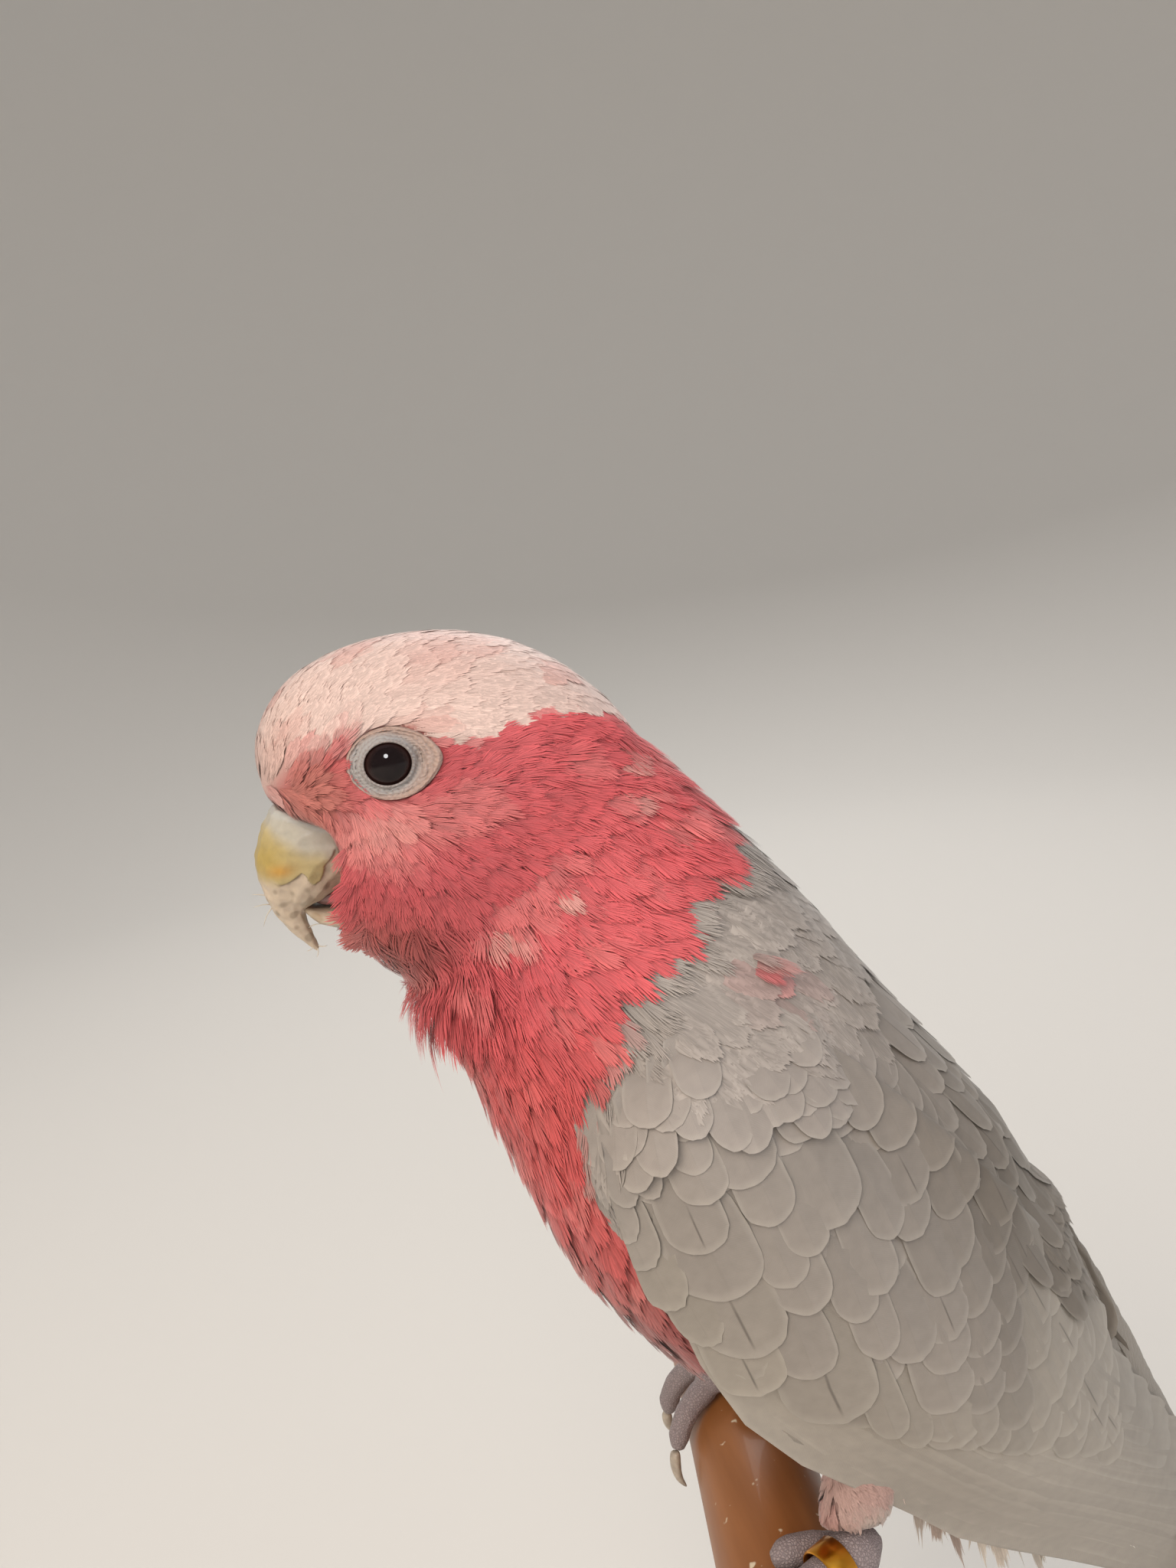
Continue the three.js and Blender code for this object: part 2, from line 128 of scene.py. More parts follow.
LAMPS = [  # name, place in mm, size in mm, power in W, colour
    ("key", (-750, -900, 1250), 1500, 25, "#FFF4E8"),
    ("fill", (1300, -900, 700), 1500, 7, "#EAF1FF"),
    ("back", (500, 1300, 1500), 1200, 14, "#FFFFFF"),
    ("catch", (-60, -880, 700), 230, 4.5, "#FFFFFF"),
]
AIM = Vector((0, 0, 250)) * MM
for name, place, size, power, colour in LAMPS:
    lamp = bpy.data.lights.new(name, "AREA")
    lamp.shape = "DISK"
    lamp.size = size * MM
    lamp.energy = power
    lamp.color = linear(colour)
    holder = bpy.data.objects.new(name, lamp)
    holder.location = Vector(place) * MM
    holder.rotation_euler = (AIM - holder.location).to_track_quat("-Z", "Y").to_euler()
    holder.visible_camera = False
    holder.visible_glossy = name in ("back", "catch")
    holder.visible_diffuse = name != "catch"
    bpy.context.scene.collection.objects.link(holder)

ROOM_COLOUR, ROOM_STRENGTH = "#E9EEF5", 0.55
world = bpy.data.worlds.new("soft studio")
world.use_nodes = True
room = world.node_tree.nodes["Background"]
room.inputs["Color"].default_value = (*linear(ROOM_COLOUR), 1)
room.inputs["Strength"].default_value = ROOM_STRENGTH
bpy.context.scene.world = world
bpy.context.scene.view_settings.view_transform = "Standard"

CAMERA_PLACE = (-63.3, -225.8, 370.0)
CAMERA_YAW, CAMERA_PITCH, CAMERA_ROLL = (math.radians(a) for a in (12.0, 9.9, 9.05))
LENS_LENGTH, SENSOR_WIDTH = 27.04, 36
ahead = Vector((
    math.sin(CAMERA_YAW) * math.cos(CAMERA_PITCH),
    math.cos(CAMERA_YAW) * math.cos(CAMERA_PITCH),
    -math.sin(CAMERA_PITCH),
))
level = Vector((math.cos(CAMERA_YAW), -math.sin(CAMERA_YAW), 0))
raised = level.cross(ahead)
across = level * math.cos(CAMERA_ROLL) - raised * math.sin(CAMERA_ROLL)
upward = level * math.sin(CAMERA_ROLL) + raised * math.cos(CAMERA_ROLL)
lens = bpy.data.cameras.new("camera")
lens.sensor_width = SENSOR_WIDTH
lens.lens = LENS_LENGTH
lens.clip_start = 10 * MM
camera = bpy.data.objects.new("camera", lens)
camera.matrix_world = Matrix.Translation(Vector(CAMERA_PLACE) * MM) @ Matrix(
    (across, upward, -ahead)).transposed().to_4x4()
bpy.context.scene.collection.objects.link(camera)
bpy.context.scene.camera = camera


# ---------------------------------------------------------------- the stand
# A turned beech disc, stained dark and lacquered, with a ground steel rod screwed into
# it and a round steel plate on the rod's top that takes the perch.

TURNED_SIDES, RIM_ARCS = 96, 5


def turned(profile, centre, axis=(0, 0, 1)):
    """A solid of revolution: profile is (radius, height along the axis), both ends on the axis."""
    bm = bmesh.new()
    chain = [bm.verts.new((radius, 0, height)) for radius, height in profile]
    edges = [bm.edges.new(pair) for pair in zip(chain, chain[1:])]
    bmesh.ops.spin(bm, geom=chain + edges, axis=(0, 0, 1), cent=(0, 0, 0),
                   angle=math.tau, steps=TURNED_SIDES, use_merge=True)
    bmesh.ops.remove_doubles(bm, verts=bm.verts, dist=1e-6)
    bmesh.ops.recalc_face_normals(bm, faces=bm.faces)
    turn = Vector((0, 0, 1)).rotation_difference(Vector(axis)).to_matrix().to_4x4()
    bmesh.ops.transform(bm, matrix=Matrix.Translation(centre) @ turn, verts=bm.verts)
    return bm


def rounded(radius, low, high, edge):
    """The profile of a disc or rod whose two rims are rounded."""
    arc = [math.pi / 2 * i / RIM_ARCS for i in range(RIM_ARCS + 1)]
    bottom = [(radius - edge + edge * math.sin(a), low + edge - edge * math.cos(a)) for a in arc]
    top = [(radius - edge + edge * math.cos(a), high - edge + edge * math.sin(a)) for a in arc]
    return [(0, low), *bottom, *top, (0, high)]


def standing(name, edge, finish):
    """Replaces an upright round CAD piece of the stand by a turned one with rounded rims."""
    low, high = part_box(name)
    centre = Vector(((low.x + high.x) / 2, (low.y + high.y) / 2, 0))
    bm = turned(rounded((high.x - low.x) / 2, low.z, high.z, edge), centre)
    made = shown(name + "_turned", bm, finish)
    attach(made, "root")
    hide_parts(name)
    return made


BASE_EDGE, FLANGE_EDGE, ROD_EDGE = 2.4 * MM, 0.8 * MM, 0.5 * MM
GRAIN_WIDTH = 3.0  # mm between the dark lines of the stained grain
BEECH_BROWN, BEECH_DARK, BEECH_PALE = "#3A2A20", "#241812", "#4B3628"

# The lacquer gives the beech an even satin shine over its straight grain.
base_wood, shader = material("dark stained beech, satin lacquer", BEECH_BROWN, 0.32)
tree = base_wood.node_tree
place = node(tree, "ShaderNodeTexCoord").outputs["Object"]
stretch = node(tree, "ShaderNodeMapping", [
    ("Vector", place), ("Scale", (40, 1000 / GRAIN_WIDTH, 40))])
grain = node(tree, "ShaderNodeTexNoise", [
    ("Vector", stretch.outputs[0]), ("Scale", 1.0), ("Detail", 6.0)])
tone = node(tree, "ShaderNodeValToRGB", [("Fac", grain.outputs["Fac"])])
tone.color_ramp.elements[0].color = (*linear(BEECH_DARK), 1)
tone.color_ramp.elements[1].color = (*linear(BEECH_PALE), 1)
tree.links.new(tone.outputs[0], shader.inputs["Base Color"])
bump = node(tree, "ShaderNodeBump", [
    ("Height", grain.outputs["Fac"]), ("Strength", 0.08), ("Distance", 0.2 * MM)])
tree.links.new(bump.outputs[0], shader.inputs["Normal"])
standing("stand_base", BASE_EDGE, base_wood)

BRUSH_WIDTH = 0.4  # mm between grinding marks, coarser than the real ones so that they show

# Grinding leaves fine lines round the rod that spread its reflections.
steel, shader = material("ground stainless steel", "#B9B9B7", 0.3, Metallic=1.0)
tree = steel.node_tree
place = node(tree, "ShaderNodeTexCoord").outputs["Object"]
stretch = node(tree, "ShaderNodeMapping", [
    ("Vector", place), ("Scale", (30, 30, 1000 / BRUSH_WIDTH))])
marks = node(tree, "ShaderNodeTexNoise", [
    ("Vector", stretch.outputs[0]), ("Scale", 1.0), ("Detail", 3.0)])
bump = node(tree, "ShaderNodeBump", [
    ("Height", marks.outputs["Fac"]), ("Strength", 0.15), ("Distance", 0.1 * MM)])
tree.links.new(bump.outputs[0], shader.inputs["Normal"])
for name, edge in (("stand_rod", ROD_EDGE), ("stand_flange", FLANGE_EDGE)):
    standing(name, edge, steel)


# ---------------------------------------------------------------- the perch
# A smooth round hardwood dowel, oiled orange-brown, sawn off square at both ends. Old
# droppings and lime have left small whitish specks on it.

PERCH_TURN = math.radians(10)
PERCH_RADIUS = 14.5 * MM
PERCH_EDGE = 0.7 * MM
OIL_BROWN, WOOD_DARK, WOOD_PALE, LIME = "#9A5E33", "#87552D", "#976136", "#D8C9AE"


def points_of(*names):
    """The CAD vertices of some nodes, in metres."""
    return np.concatenate([
        np.array([v.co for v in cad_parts[name].data.vertices]) for name in names])


perch_axis = Vector((math.sin(PERCH_TURN), math.cos(PERCH_TURN), 0))
perch_low, perch_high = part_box("perch")
perch_middle = (perch_low + perch_high) / 2
reach = (points_of("perch") - np.array(perch_middle)) @ np.array(perch_axis)

# The oil darkens the wood and leaves a faint shine; the grain runs along the dowel.
oiled_wood, shader = material("oiled hardwood dowel", OIL_BROWN, 0.45, Coat_Weight=0.1)
tree = oiled_wood.node_tree
place = node(tree, "ShaderNodeTexCoord").outputs["Object"]
along = node(tree, "ShaderNodeMapping", [
    ("Vector", place), ("Rotation", (0, 0, PERCH_TURN)), ("Scale", (260, 22, 260))])
grain = node(tree, "ShaderNodeTexNoise", [
    ("Vector", along.outputs[0]), ("Scale", 1.0), ("Detail", 5.0)])
tone = node(tree, "ShaderNodeValToRGB", [("Fac", grain.outputs["Fac"])])
tone.color_ramp.elements[0].position, tone.color_ramp.elements[1].position = 0.3, 0.75
tone.color_ramp.elements[0].color = (*linear(WOOD_DARK), 1)
tone.color_ramp.elements[1].color = (*linear(WOOD_PALE), 1)
specks = node(tree, "ShaderNodeTexNoise", [("Vector", place), ("Scale", 260.0), ("Detail", 2.0)])
limed = node(tree, "ShaderNodeMapRange", [
    ("Value", specks.outputs["Fac"]), ("From Min", 0.69), ("From Max", 0.74)])
mixed = node(tree, "ShaderNodeMix", [
    ("Factor", limed.outputs[0]), ("A", tone.outputs[0]), ("B", (*linear(LIME), 1))], data_type="RGBA")
tree.links.new(mixed.outputs["Result"], shader.inputs["Base Color"])
bump = node(tree, "ShaderNodeBump", [
    ("Height", grain.outputs["Fac"]), ("Strength", 0.06), ("Distance", 0.2 * MM)])
tree.links.new(bump.outputs[0], shader.inputs["Normal"])

dowel = shown("perch_dowel", turned(
    rounded(PERCH_RADIUS, reach.min(), reach.max(), PERCH_EDGE), perch_middle, perch_axis), oiled_wood)
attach(dowel, "root")
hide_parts("perch")


# ---------------------------------------------------------------- the skin
# One skin over the whole bird, from the cere to the toes. Under the feathers it lies deeper than the coat's
# outline by the coat's depth and carries the coat's markings as underdown, darkened with painted shade for
# the gaps between feathers; round the eyes it is bare and folded, and on the feet it is scaly.

FEATHERED = ["head", "neck", "trunk", "wing_left", "wing_right", "thigh_left", "thigh_right"]
SCALY = [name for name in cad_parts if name.startswith(("tarsus", "toe"))]
BODY_VOXEL, FOOT_VOXEL = 1.35 * MM, 0.7 * MM
GAP_CLOSED = 0.35 * MM  # how far each CAD solid grows, to close the thin cuts between them
TAIL_FLESH = 17 * MM  # the length of the fleshy root inside the tail's feathers


def remeshed(names, voxel, smoothing):
    """Copies CAD solids, grows them together and gives their one outer skin."""
    bm = bmesh.new()
    for name in names:
        bm.from_mesh(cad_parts[name].data)
    bmesh.ops.remove_doubles(bm, verts=bm.verts, dist=1e-6)
    bm.normal_update()
    for vert in bm.verts:
        vert.co += vert.normal * GAP_CLOSED
    if "tail" in names:
        root = Vector(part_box("tail")[0]) + Vector((TAIL_FLESH, 0, 0))
        cut = bmesh.ops.bisect_plane(bm, geom=bm.verts[:] + bm.edges[:] + bm.faces[:], plane_co=root,
                                     plane_no=(1, 0, -0.4), clear_outer=True)
        rim = [part for part in cut["geom_cut"] if isinstance(part, bmesh.types.BMEdge)]
        bmesh.ops.contextual_create(bm, geom=rim)
    mesh = bpy.data.meshes.new("flesh")
    bm.to_mesh(mesh)
    bm.free()
    made = bpy.data.objects.new("flesh", mesh)
    bpy.context.scene.collection.objects.link(made)
    shell = made.modifiers.new("one skin", "REMESH")
    shell.mode, shell.voxel_size = "VOXEL", voxel
    smoother = made.modifiers.new("even", "SMOOTH")
    smoother.factor, smoother.iterations = 0.5, smoothing
    result = bpy.data.meshes.new_from_object(made.evaluated_get(bpy.context.evaluated_depsgraph_get()))
    bpy.data.objects.remove(made)
    return result


def coordinates(mesh):
    """A mesh's vertices as rows of x, y, z."""
    places = np.empty(len(mesh.vertices) * 3)
    mesh.vertices.foreach_get("co", places)
    return places.reshape(-1, 3)


def normals_of(mesh):
    """The normal at each of a mesh's vertices."""
    found = np.empty(len(mesh.vertices) * 3)
    mesh.vertex_normals.foreach_get("vector", found)
    return found.reshape(-1, 3)


def edges_of(mesh):
    """The two vertices of each of a mesh's edges."""
    found = np.empty(len(mesh.edges) * 2, int)
    mesh.edges.foreach_get("vertices", found)
    return found.reshape(-1, 2)


def evened(values, edges, rounds):
    """Averages values with their neighbours', over and over."""
    shape = (-1,) + (1,) * (values.ndim - 1)
    count = np.bincount(edges.ravel(), minlength=len(values)).reshape(shape)
    for _ in range(rounds):
        total = np.zeros_like(values)
        np.add.at(total, edges[:, 0], values[edges[:, 1]])
        np.add.at(total, edges[:, 1], values[edges[:, 0]])
        values = (values + total / np.maximum(count, 1)) / 2
    return values


def ripple(places, size, seed):
    """A smooth random wave from -1 to 1 whose swells are about size millimetres across."""
    draw = np.random.default_rng(seed)
    total = np.zeros(len(places))
    for _ in range(6):
        way = draw.normal(size=3)
        way *= math.pi / (size * MM) / np.linalg.norm(way)
        total += np.sin(places @ way + draw.uniform(0, math.tau))
    return total / 2.6


def ease(value, low, high):
    """0 below low, 1 above high, and a smooth rise between them."""
    part = np.clip((value - low) / (high - low), 0, 1)
    return part * part * (3 - 2 * part)


def spot(places, centre, reach):
    """1 at centre in the side view, falling to 0 at about twice reach; both are (x, z) in mm."""
    x, z = (places[:, 0] / MM - centre[0]) / reach[0], (places[:, 2] / MM - centre[1]) / reach[1]
    return np.exp(-(x * x + z * z))


BILL_ROOT = (-70, 333)  # x, z of the middle of the bill's base
EYE_PLACE = (-53.4, 343.4)  # x, z of the middle of the bare eye ring
DEPTH_FACE, DEPTH_CROWN, DEPTH_NECK, DEPTH_BREAST = 1.0, 1.5, 2.8, 3.2
DEPTH_BEARD, DEPTH_BACK, DEPTH_THIGH = 3.6, 3.0, 1.8


def coat_depth(places, on_wing):
    """How far the coat stands off the skin, in mm."""
    x, z = places[:, 0] / MM, places[:, 2] / MM
    from_bill = np.hypot(x - BILL_ROOT[0], z - BILL_ROOT[1])
    depth = np.interp(from_bill, [0, 12, 35, 60, 110, 220], [
        0.6, DEPTH_FACE, DEPTH_CROWN, DEPTH_NECK, DEPTH_BREAST, DEPTH_BACK])
    depth = depth + (DEPTH_BEARD - DEPTH_FACE) * spot(places, (-56, 300), (11, 7))
    depth = depth * (1 - 0.75 * spot(places, EYE_PLACE, (8, 7)))
    wing = np.interp(x, [-35, 50, 90, 110], [2.8, 2.6, 1.8, 0.9])
    thigh = np.where(z < 212, np.minimum(depth, DEPTH_THIGH + (z - 165) / 30), depth)
    return np.where(on_wing, wing, thigh)


# The coat's colours. The rose is a little duller on the breast than on the neck; the darker rose under the
# chin and on the belly is painted shade, and the rear grey is a darker grey deepened with painted shade.
CAP, CAP_PINK, FOREHEAD = "#D9BEB4", "#D0A298", "#C8A59B"
LORES, UNDER_EYE = "#BD7268", "#E39A92"
CHEEK, NAPE_ROSE, BREAST_ROSE, SHADED_BELLY_ROSE = "#CA555B", "#D8595E", "#CB5453", "#984743"
SHADED_BEARD_ROSE = "#A64E47"
FLIGHT_LOW, FLIGHT_HIGH = "#A29A8F", "#958D82"
MANTLE_GREY, WING_GREY, REAR_GREY_AND_SHADE = "#9F968F", "#928A82", "#685F54"
THIGH_WHITE, THIGH_ROSE = "#B3A197", "#A87C74"
VENT_WHITE, RUMP_GREY, TAIL_GREY = "#E2D9CD", "#C9C3BA", "#6E6A68"

CAP_EDGE = [  # x, z along the lower edge of the pale cap, from the bill to the nape
    (-80, 338), (-74, 341), (-68, 346), (-62, 348), (-50, 349), (-44.5, 346.5), (-41.4, 344.8),
    (-35.6, 346.5), (-29.8, 347.4), (-26.7, 348.1), (-19.6, 346.4), (-11.4, 344.6), (-5.4, 338),
    (-2.7, 334), (6, 328)]
FLIGHT_TOP = [  # x, z along the upper edge of the flight feathers, from the wing's front back
    (-22, 238), (0, 210), (24, 197), (44, 190), (56, 215), (76, 200), (124, 150)]
GREY_EDGE = [  # z, x along the front edge of the grey mantle and wing, from the tail up
    (100, 119), (120, 105), (150, 84), (185, 57), (215, 20), (240, -16), (262, -30.5),
    (278, -29.9), (281, -29.1), (284.7, -26.8), (286.3, -23.2), (290.6, -20.3), (296.7, -17),
    (301.3, -13.7), (302.4, -10.5), (308.1, -8.5), (310.4, 1), (313.4, 8), (316.4, 11.5), (325, 18)]
PALE_FLECKS = [  # x, z of each pale fleck in the rose, and its reach along x and z
    ((-38.8, 307.9), (3.6, 1.5)), ((-11.9, 327.9), (3.2, 1.7)), ((-27.4, 313.5), (2.2, 1.4)),
    ((-9.2, 334.2), (3.0, 1.6))]
ROSE_FLECK = ((4.4, 292.5), (4.0, 2.2))  # a stray rose spot on the grey shoulder


def mixed_colour(first, second, share):
    """Moves rows of colours towards a second colour, or rows of them, by a share for each row."""
    second = np.array(linear(second)) if isinstance(second, str) else second
    return first + (second - first) * share[:, None]


def markings(places, wobble=1.0, wing=0.0):
    """The coat's colour at each place; wobble roughens the borders, and wing 1 makes it all grey."""
    x, y, z = places[:, 0] / MM, np.abs(places[:, 1]) / MM, places[:, 2] / MM
    stray = wobble * (1.4 * ripple(places, 3.5, 11) + 1.6 * ripple(places, 9, 12))
    rose = np.tile(np.array(linear(CHEEK)), (len(places), 1))
    rose = mixed_colour(rose, NAPE_ROSE, ease(x, -45, -15))
    # Painted shade: the rose darkens under the chin and, further down, on the belly.
    rose = mixed_colour(rose, SHADED_BEARD_ROSE, spot(places, (-60, 308), (11, 10)))
    rose = mixed_colour(rose, BREAST_ROSE, ease(-z, -305, -275))
    rose = mixed_colour(rose, SHADED_BELLY_ROSE, ease(-z, -265, -225))
    rose = mixed_colour(rose, UNDER_EYE, 0.9 * spot(places, (-57, 332.5), (8.5, 4.2)))
    rose = mixed_colour(rose, UNDER_EYE, 0.25 * ease(ripple(places, 7, 13), 0.2, 1.0))
    for centre, reach in PALE_FLECKS:
        rose = mixed_colour(rose, CAP_PINK, 0.85 * spot(places, centre, reach))
    rose = mixed_colour(rose, VENT_WHITE, ease(x * 0.6 - z * 0.8 + stray, -142, -126))
    rose = mixed_colour(rose, RUMP_GREY, ease(x, 66, 84) * ease(-z, -170, -150))
    thigh = np.minimum(1.3 * ease(y, 9, 14) * spot(places, (17, 183), (14, 18)), 1)
    rose = mixed_colour(rose, THIGH_WHITE, thigh)
    rose = mixed_colour(rose, THIGH_ROSE, 0.6 * thigh * ease(ripple(places, 6, 15), 0, 1))
    lores = 1.15 * spot(places, (-67.5, 341), (5.5, 6.0))
    rose = mixed_colour(rose, LORES, np.clip(lores + spot(places, (-72, 337), (6, 3)), 0, 1))
    cap = np.tile(np.array(linear(CAP)), (len(places), 1))
    cap = mixed_colour(cap, CAP_PINK, 0.75 * ease(ripple(places, 6, 14), 0.25, 1.1))
    cap = mixed_colour(cap, CAP_PINK, 0.7 * spot(places, (-44, 360), (6, 4)))
    cap = mixed_colour(cap, FOREHEAD, 0.9 * spot(places, (-75, 344), (6, 5)))
    edge = np.interp(x, *zip(*CAP_EDGE))
    softness = np.interp(x, [-72, -60, -50, -15, 0], [5, 3, 0.8, 1.2, 4.5])
    capped = ease((z - edge + stray * 0.5) / softness, -0.7, 0.7)
    colour = mixed_colour(rose, cap, capped)
    border = np.interp(z, *zip(*GREY_EDGE))
    grey = np.tile(np.array(linear(MANTLE_GREY)), (len(places), 1))
    grey = mixed_colour(grey, WING_GREY, ease(-z, -290, -250))
    # The rear of the wing and mantle turns a darker grey, deepened with painted shade.
    grey = mixed_colour(grey, REAR_GREY_AND_SHADE, ease(x + 0.15 * (z - 250), 12, 56))
    grey = mixed_colour(grey, RUMP_GREY, ease(-z, -185, -160) * (1 - wing))
    grey = mixed_colour(grey, FLIGHT_HIGH, wing * ease(np.interp(x, *zip(*FLIGHT_TOP)) - z, -16, 6))
    grey = mixed_colour(grey, CHEEK, 0.8 * spot(places, *ROSE_FLECK))
    share = ease(x - border + stray, -1.2, 1.2)
    share = np.maximum(share * ease(-z, -332, -318), wing)
    return mixed_colour(colour, grey, share)


LID_OPENING = (4.15, 3.75)  # half width and half height of the open lids, mm
RING_SIZE = (8.2, 6.5)  # half width and half height of the bare skin round the eye
RING_SUNK = 2.4  # mm that the feathered skin lies under the bare ring


def in_ring(places):
    """How far out in the bare oval round the eye each place lies: below 1 is inside."""
    x, z = places[..., 0] / MM - EYE_PLACE[0] - 0.4, places[..., 2] / MM - EYE_PLACE[1]
    return np.hypot(x / (RING_SIZE[0] + 0.3), z / RING_SIZE[1])


body_mesh = remeshed(FEATHERED + ["tail"], BODY_VOXEL, 12)
body_places, body_normals, body_edges = coordinates(body_mesh), normals_of(body_mesh), edges_of(body_mesh)


def near(tree, places, limit):
    """True for each place within limit of a surface."""
    return np.array([tree.find_nearest(p, limit)[0] is not None for p in places])


def surface_tree(*names):
    """The surface of some CAD nodes, to measure from."""
    bm = bmesh.new()
    for name in names:
        bm.from_mesh(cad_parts[name].data)
    found = BVHTree.FromBMesh(bm)
    bm.free()
    return found


THIGH_BULGE = 4.5  # mm that the thighs' loose coat stands further forward, high up
fuller = spot(body_places, (4, 176), (9, 7)) * ease(np.abs(body_places[:, 1]) / MM, 8, 14)
body_places[:, 0] -= THIGH_BULGE * MM * fuller * (body_normals[:, 0] < 0.3)
on_wing = near(surface_tree("wing_left", "wing_right"), body_places, 0.9 * MM)
depth = evened(coat_depth(body_places, on_wing), body_edges, 14)
skin_places = body_places - body_normals * depth[:, None] * MM
skin_places = evened(skin_places, body_edges, 4)
body_mesh.vertices.foreach_set("co", skin_places.ravel())
body_mesh.update()
coat_guide = body_mesh.copy()  # the same skin without the hollows under the eye rings
hollow = RING_SUNK * (1 - ease(in_ring(skin_places), 0.78, 0.98)) * (skin_places[:, 2] > 0.3)
skin_places = skin_places - normals_of(body_mesh) * (hollow * MM)[:, None]
body_mesh.vertices.foreach_set("co", skin_places.ravel())
body_mesh.update()


def tinted(mesh, colours):
    """Stores a linear colour for each vertex, which the materials read as tint."""
    layer = mesh.color_attributes.new("tint", "FLOAT_COLOR", "POINT")
    layer.data.foreach_set("color", np.column_stack([colours, np.ones(len(colours))]).ravel())


WING_SHADE, DOWN_SHADE = 0.85, 0.66  # painted shade: how much darker the skin under the feathers is drawn than the feathers' tips
under = markings(skin_places, 1.0, on_wing.astype(float))
shade = np.interp(under.mean(axis=1), [0.22, 0.6], [DOWN_SHADE, 1.0])
under *= np.where(on_wing, WING_SHADE, shade)[:, None]
tinted(body_mesh, under)

# Short down has no shine and scatters light at its edges.
down, shader = material("rose and grey underdown", "#C05A5A", 0.9, Sheen_Weight=0.2)
tree = down.node_tree
tint = node(tree, "ShaderNodeAttribute", attribute_name="tint").outputs["Color"]
tree.links.new(tint, shader.inputs["Base Color"])
place = node(tree, "ShaderNodeTexCoord").outputs["Object"]
fluff = node(tree, "ShaderNodeTexNoise", [("Vector", place), ("Scale", 900.0), ("Detail", 4.0)])
bump = node(tree, "ShaderNodeBump", [
    ("Height", fluff.outputs["Fac"]), ("Strength", 0.6), ("Distance", 0.5 * MM)])
tree.links.new(bump.outputs[0], shader.inputs["Normal"])

FOOT_GREY, FOOT_PALE, FOOT_DARK = "#8F8283", "#A69794", "#7D7172"
SCALE_WIDTH = 0.62  # mm across one scale of the foot
foot_mesh = remeshed(SCALY, FOOT_VOXEL, 4)

# The feet's horny scales are dull plates with darker creases between them.
scaly, shader = material("scaly foot skin", FOOT_GREY, 0.5)
tree = scaly.node_tree
place = node(tree, "ShaderNodeTexCoord").outputs["Object"]
cells = node(tree, "ShaderNodeTexVoronoi", [("Vector", place), ("Scale", 1000 / SCALE_WIDTH)],
             feature="DISTANCE_TO_EDGE")
plates = node(tree, "ShaderNodeMapRange", [
    ("Value", cells.outputs["Distance"]), ("From Min", 0.02), ("From Max", 0.22)])
patch = node(tree, "ShaderNodeTexNoise", [("Vector", place), ("Scale", 180.0), ("Detail", 3.0)])
tone = node(tree, "ShaderNodeMix", [
    ("Factor", patch.outputs["Fac"]), ("A", (*linear(FOOT_GREY), 1)), ("B", (*linear(FOOT_PALE), 1))],
    data_type="RGBA")
creased = node(tree, "ShaderNodeMix", [
    ("Factor", plates.outputs[0]), ("A", (*linear(FOOT_DARK), 1)), ("B", tone.outputs["Result"])],
    data_type="RGBA")
tree.links.new(creased.outputs["Result"], shader.inputs["Base Color"])
bump = node(tree, "ShaderNodeBump", [
    ("Height", plates.outputs[0]), ("Strength", 0.6), ("Distance", 0.2 * MM)])
tree.links.new(bump.outputs[0], shader.inputs["Normal"])

# The bare ring round the eye: a thick lid margin on the eyeball, then skin in fine
# concentric folds broken into beads, out to an oval that comes to a point behind.
RING_STEPS, RING_TURNS = 46, 230
EYE_RADIUS = 6.0
LID_CLEAR = 0.18  # mm that the lids stand off the eyeball at least
RING_WALL = 17.2  # mm from the middle plane out to the ring's skin at least
RIM_SUNK = 2.2  # mm that its outer edge sinks under the feathers
LID_COLOURS = ("#AF998F", "#78665F", "#B59A8D", "#A6A2A0")

eye_middle = {side: (sum(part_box(name), Vector()) / 2) / MM
              for side, name in ((-1, "eye_left"), (1, "eye_right"))}


cad_head = surface_tree("head")


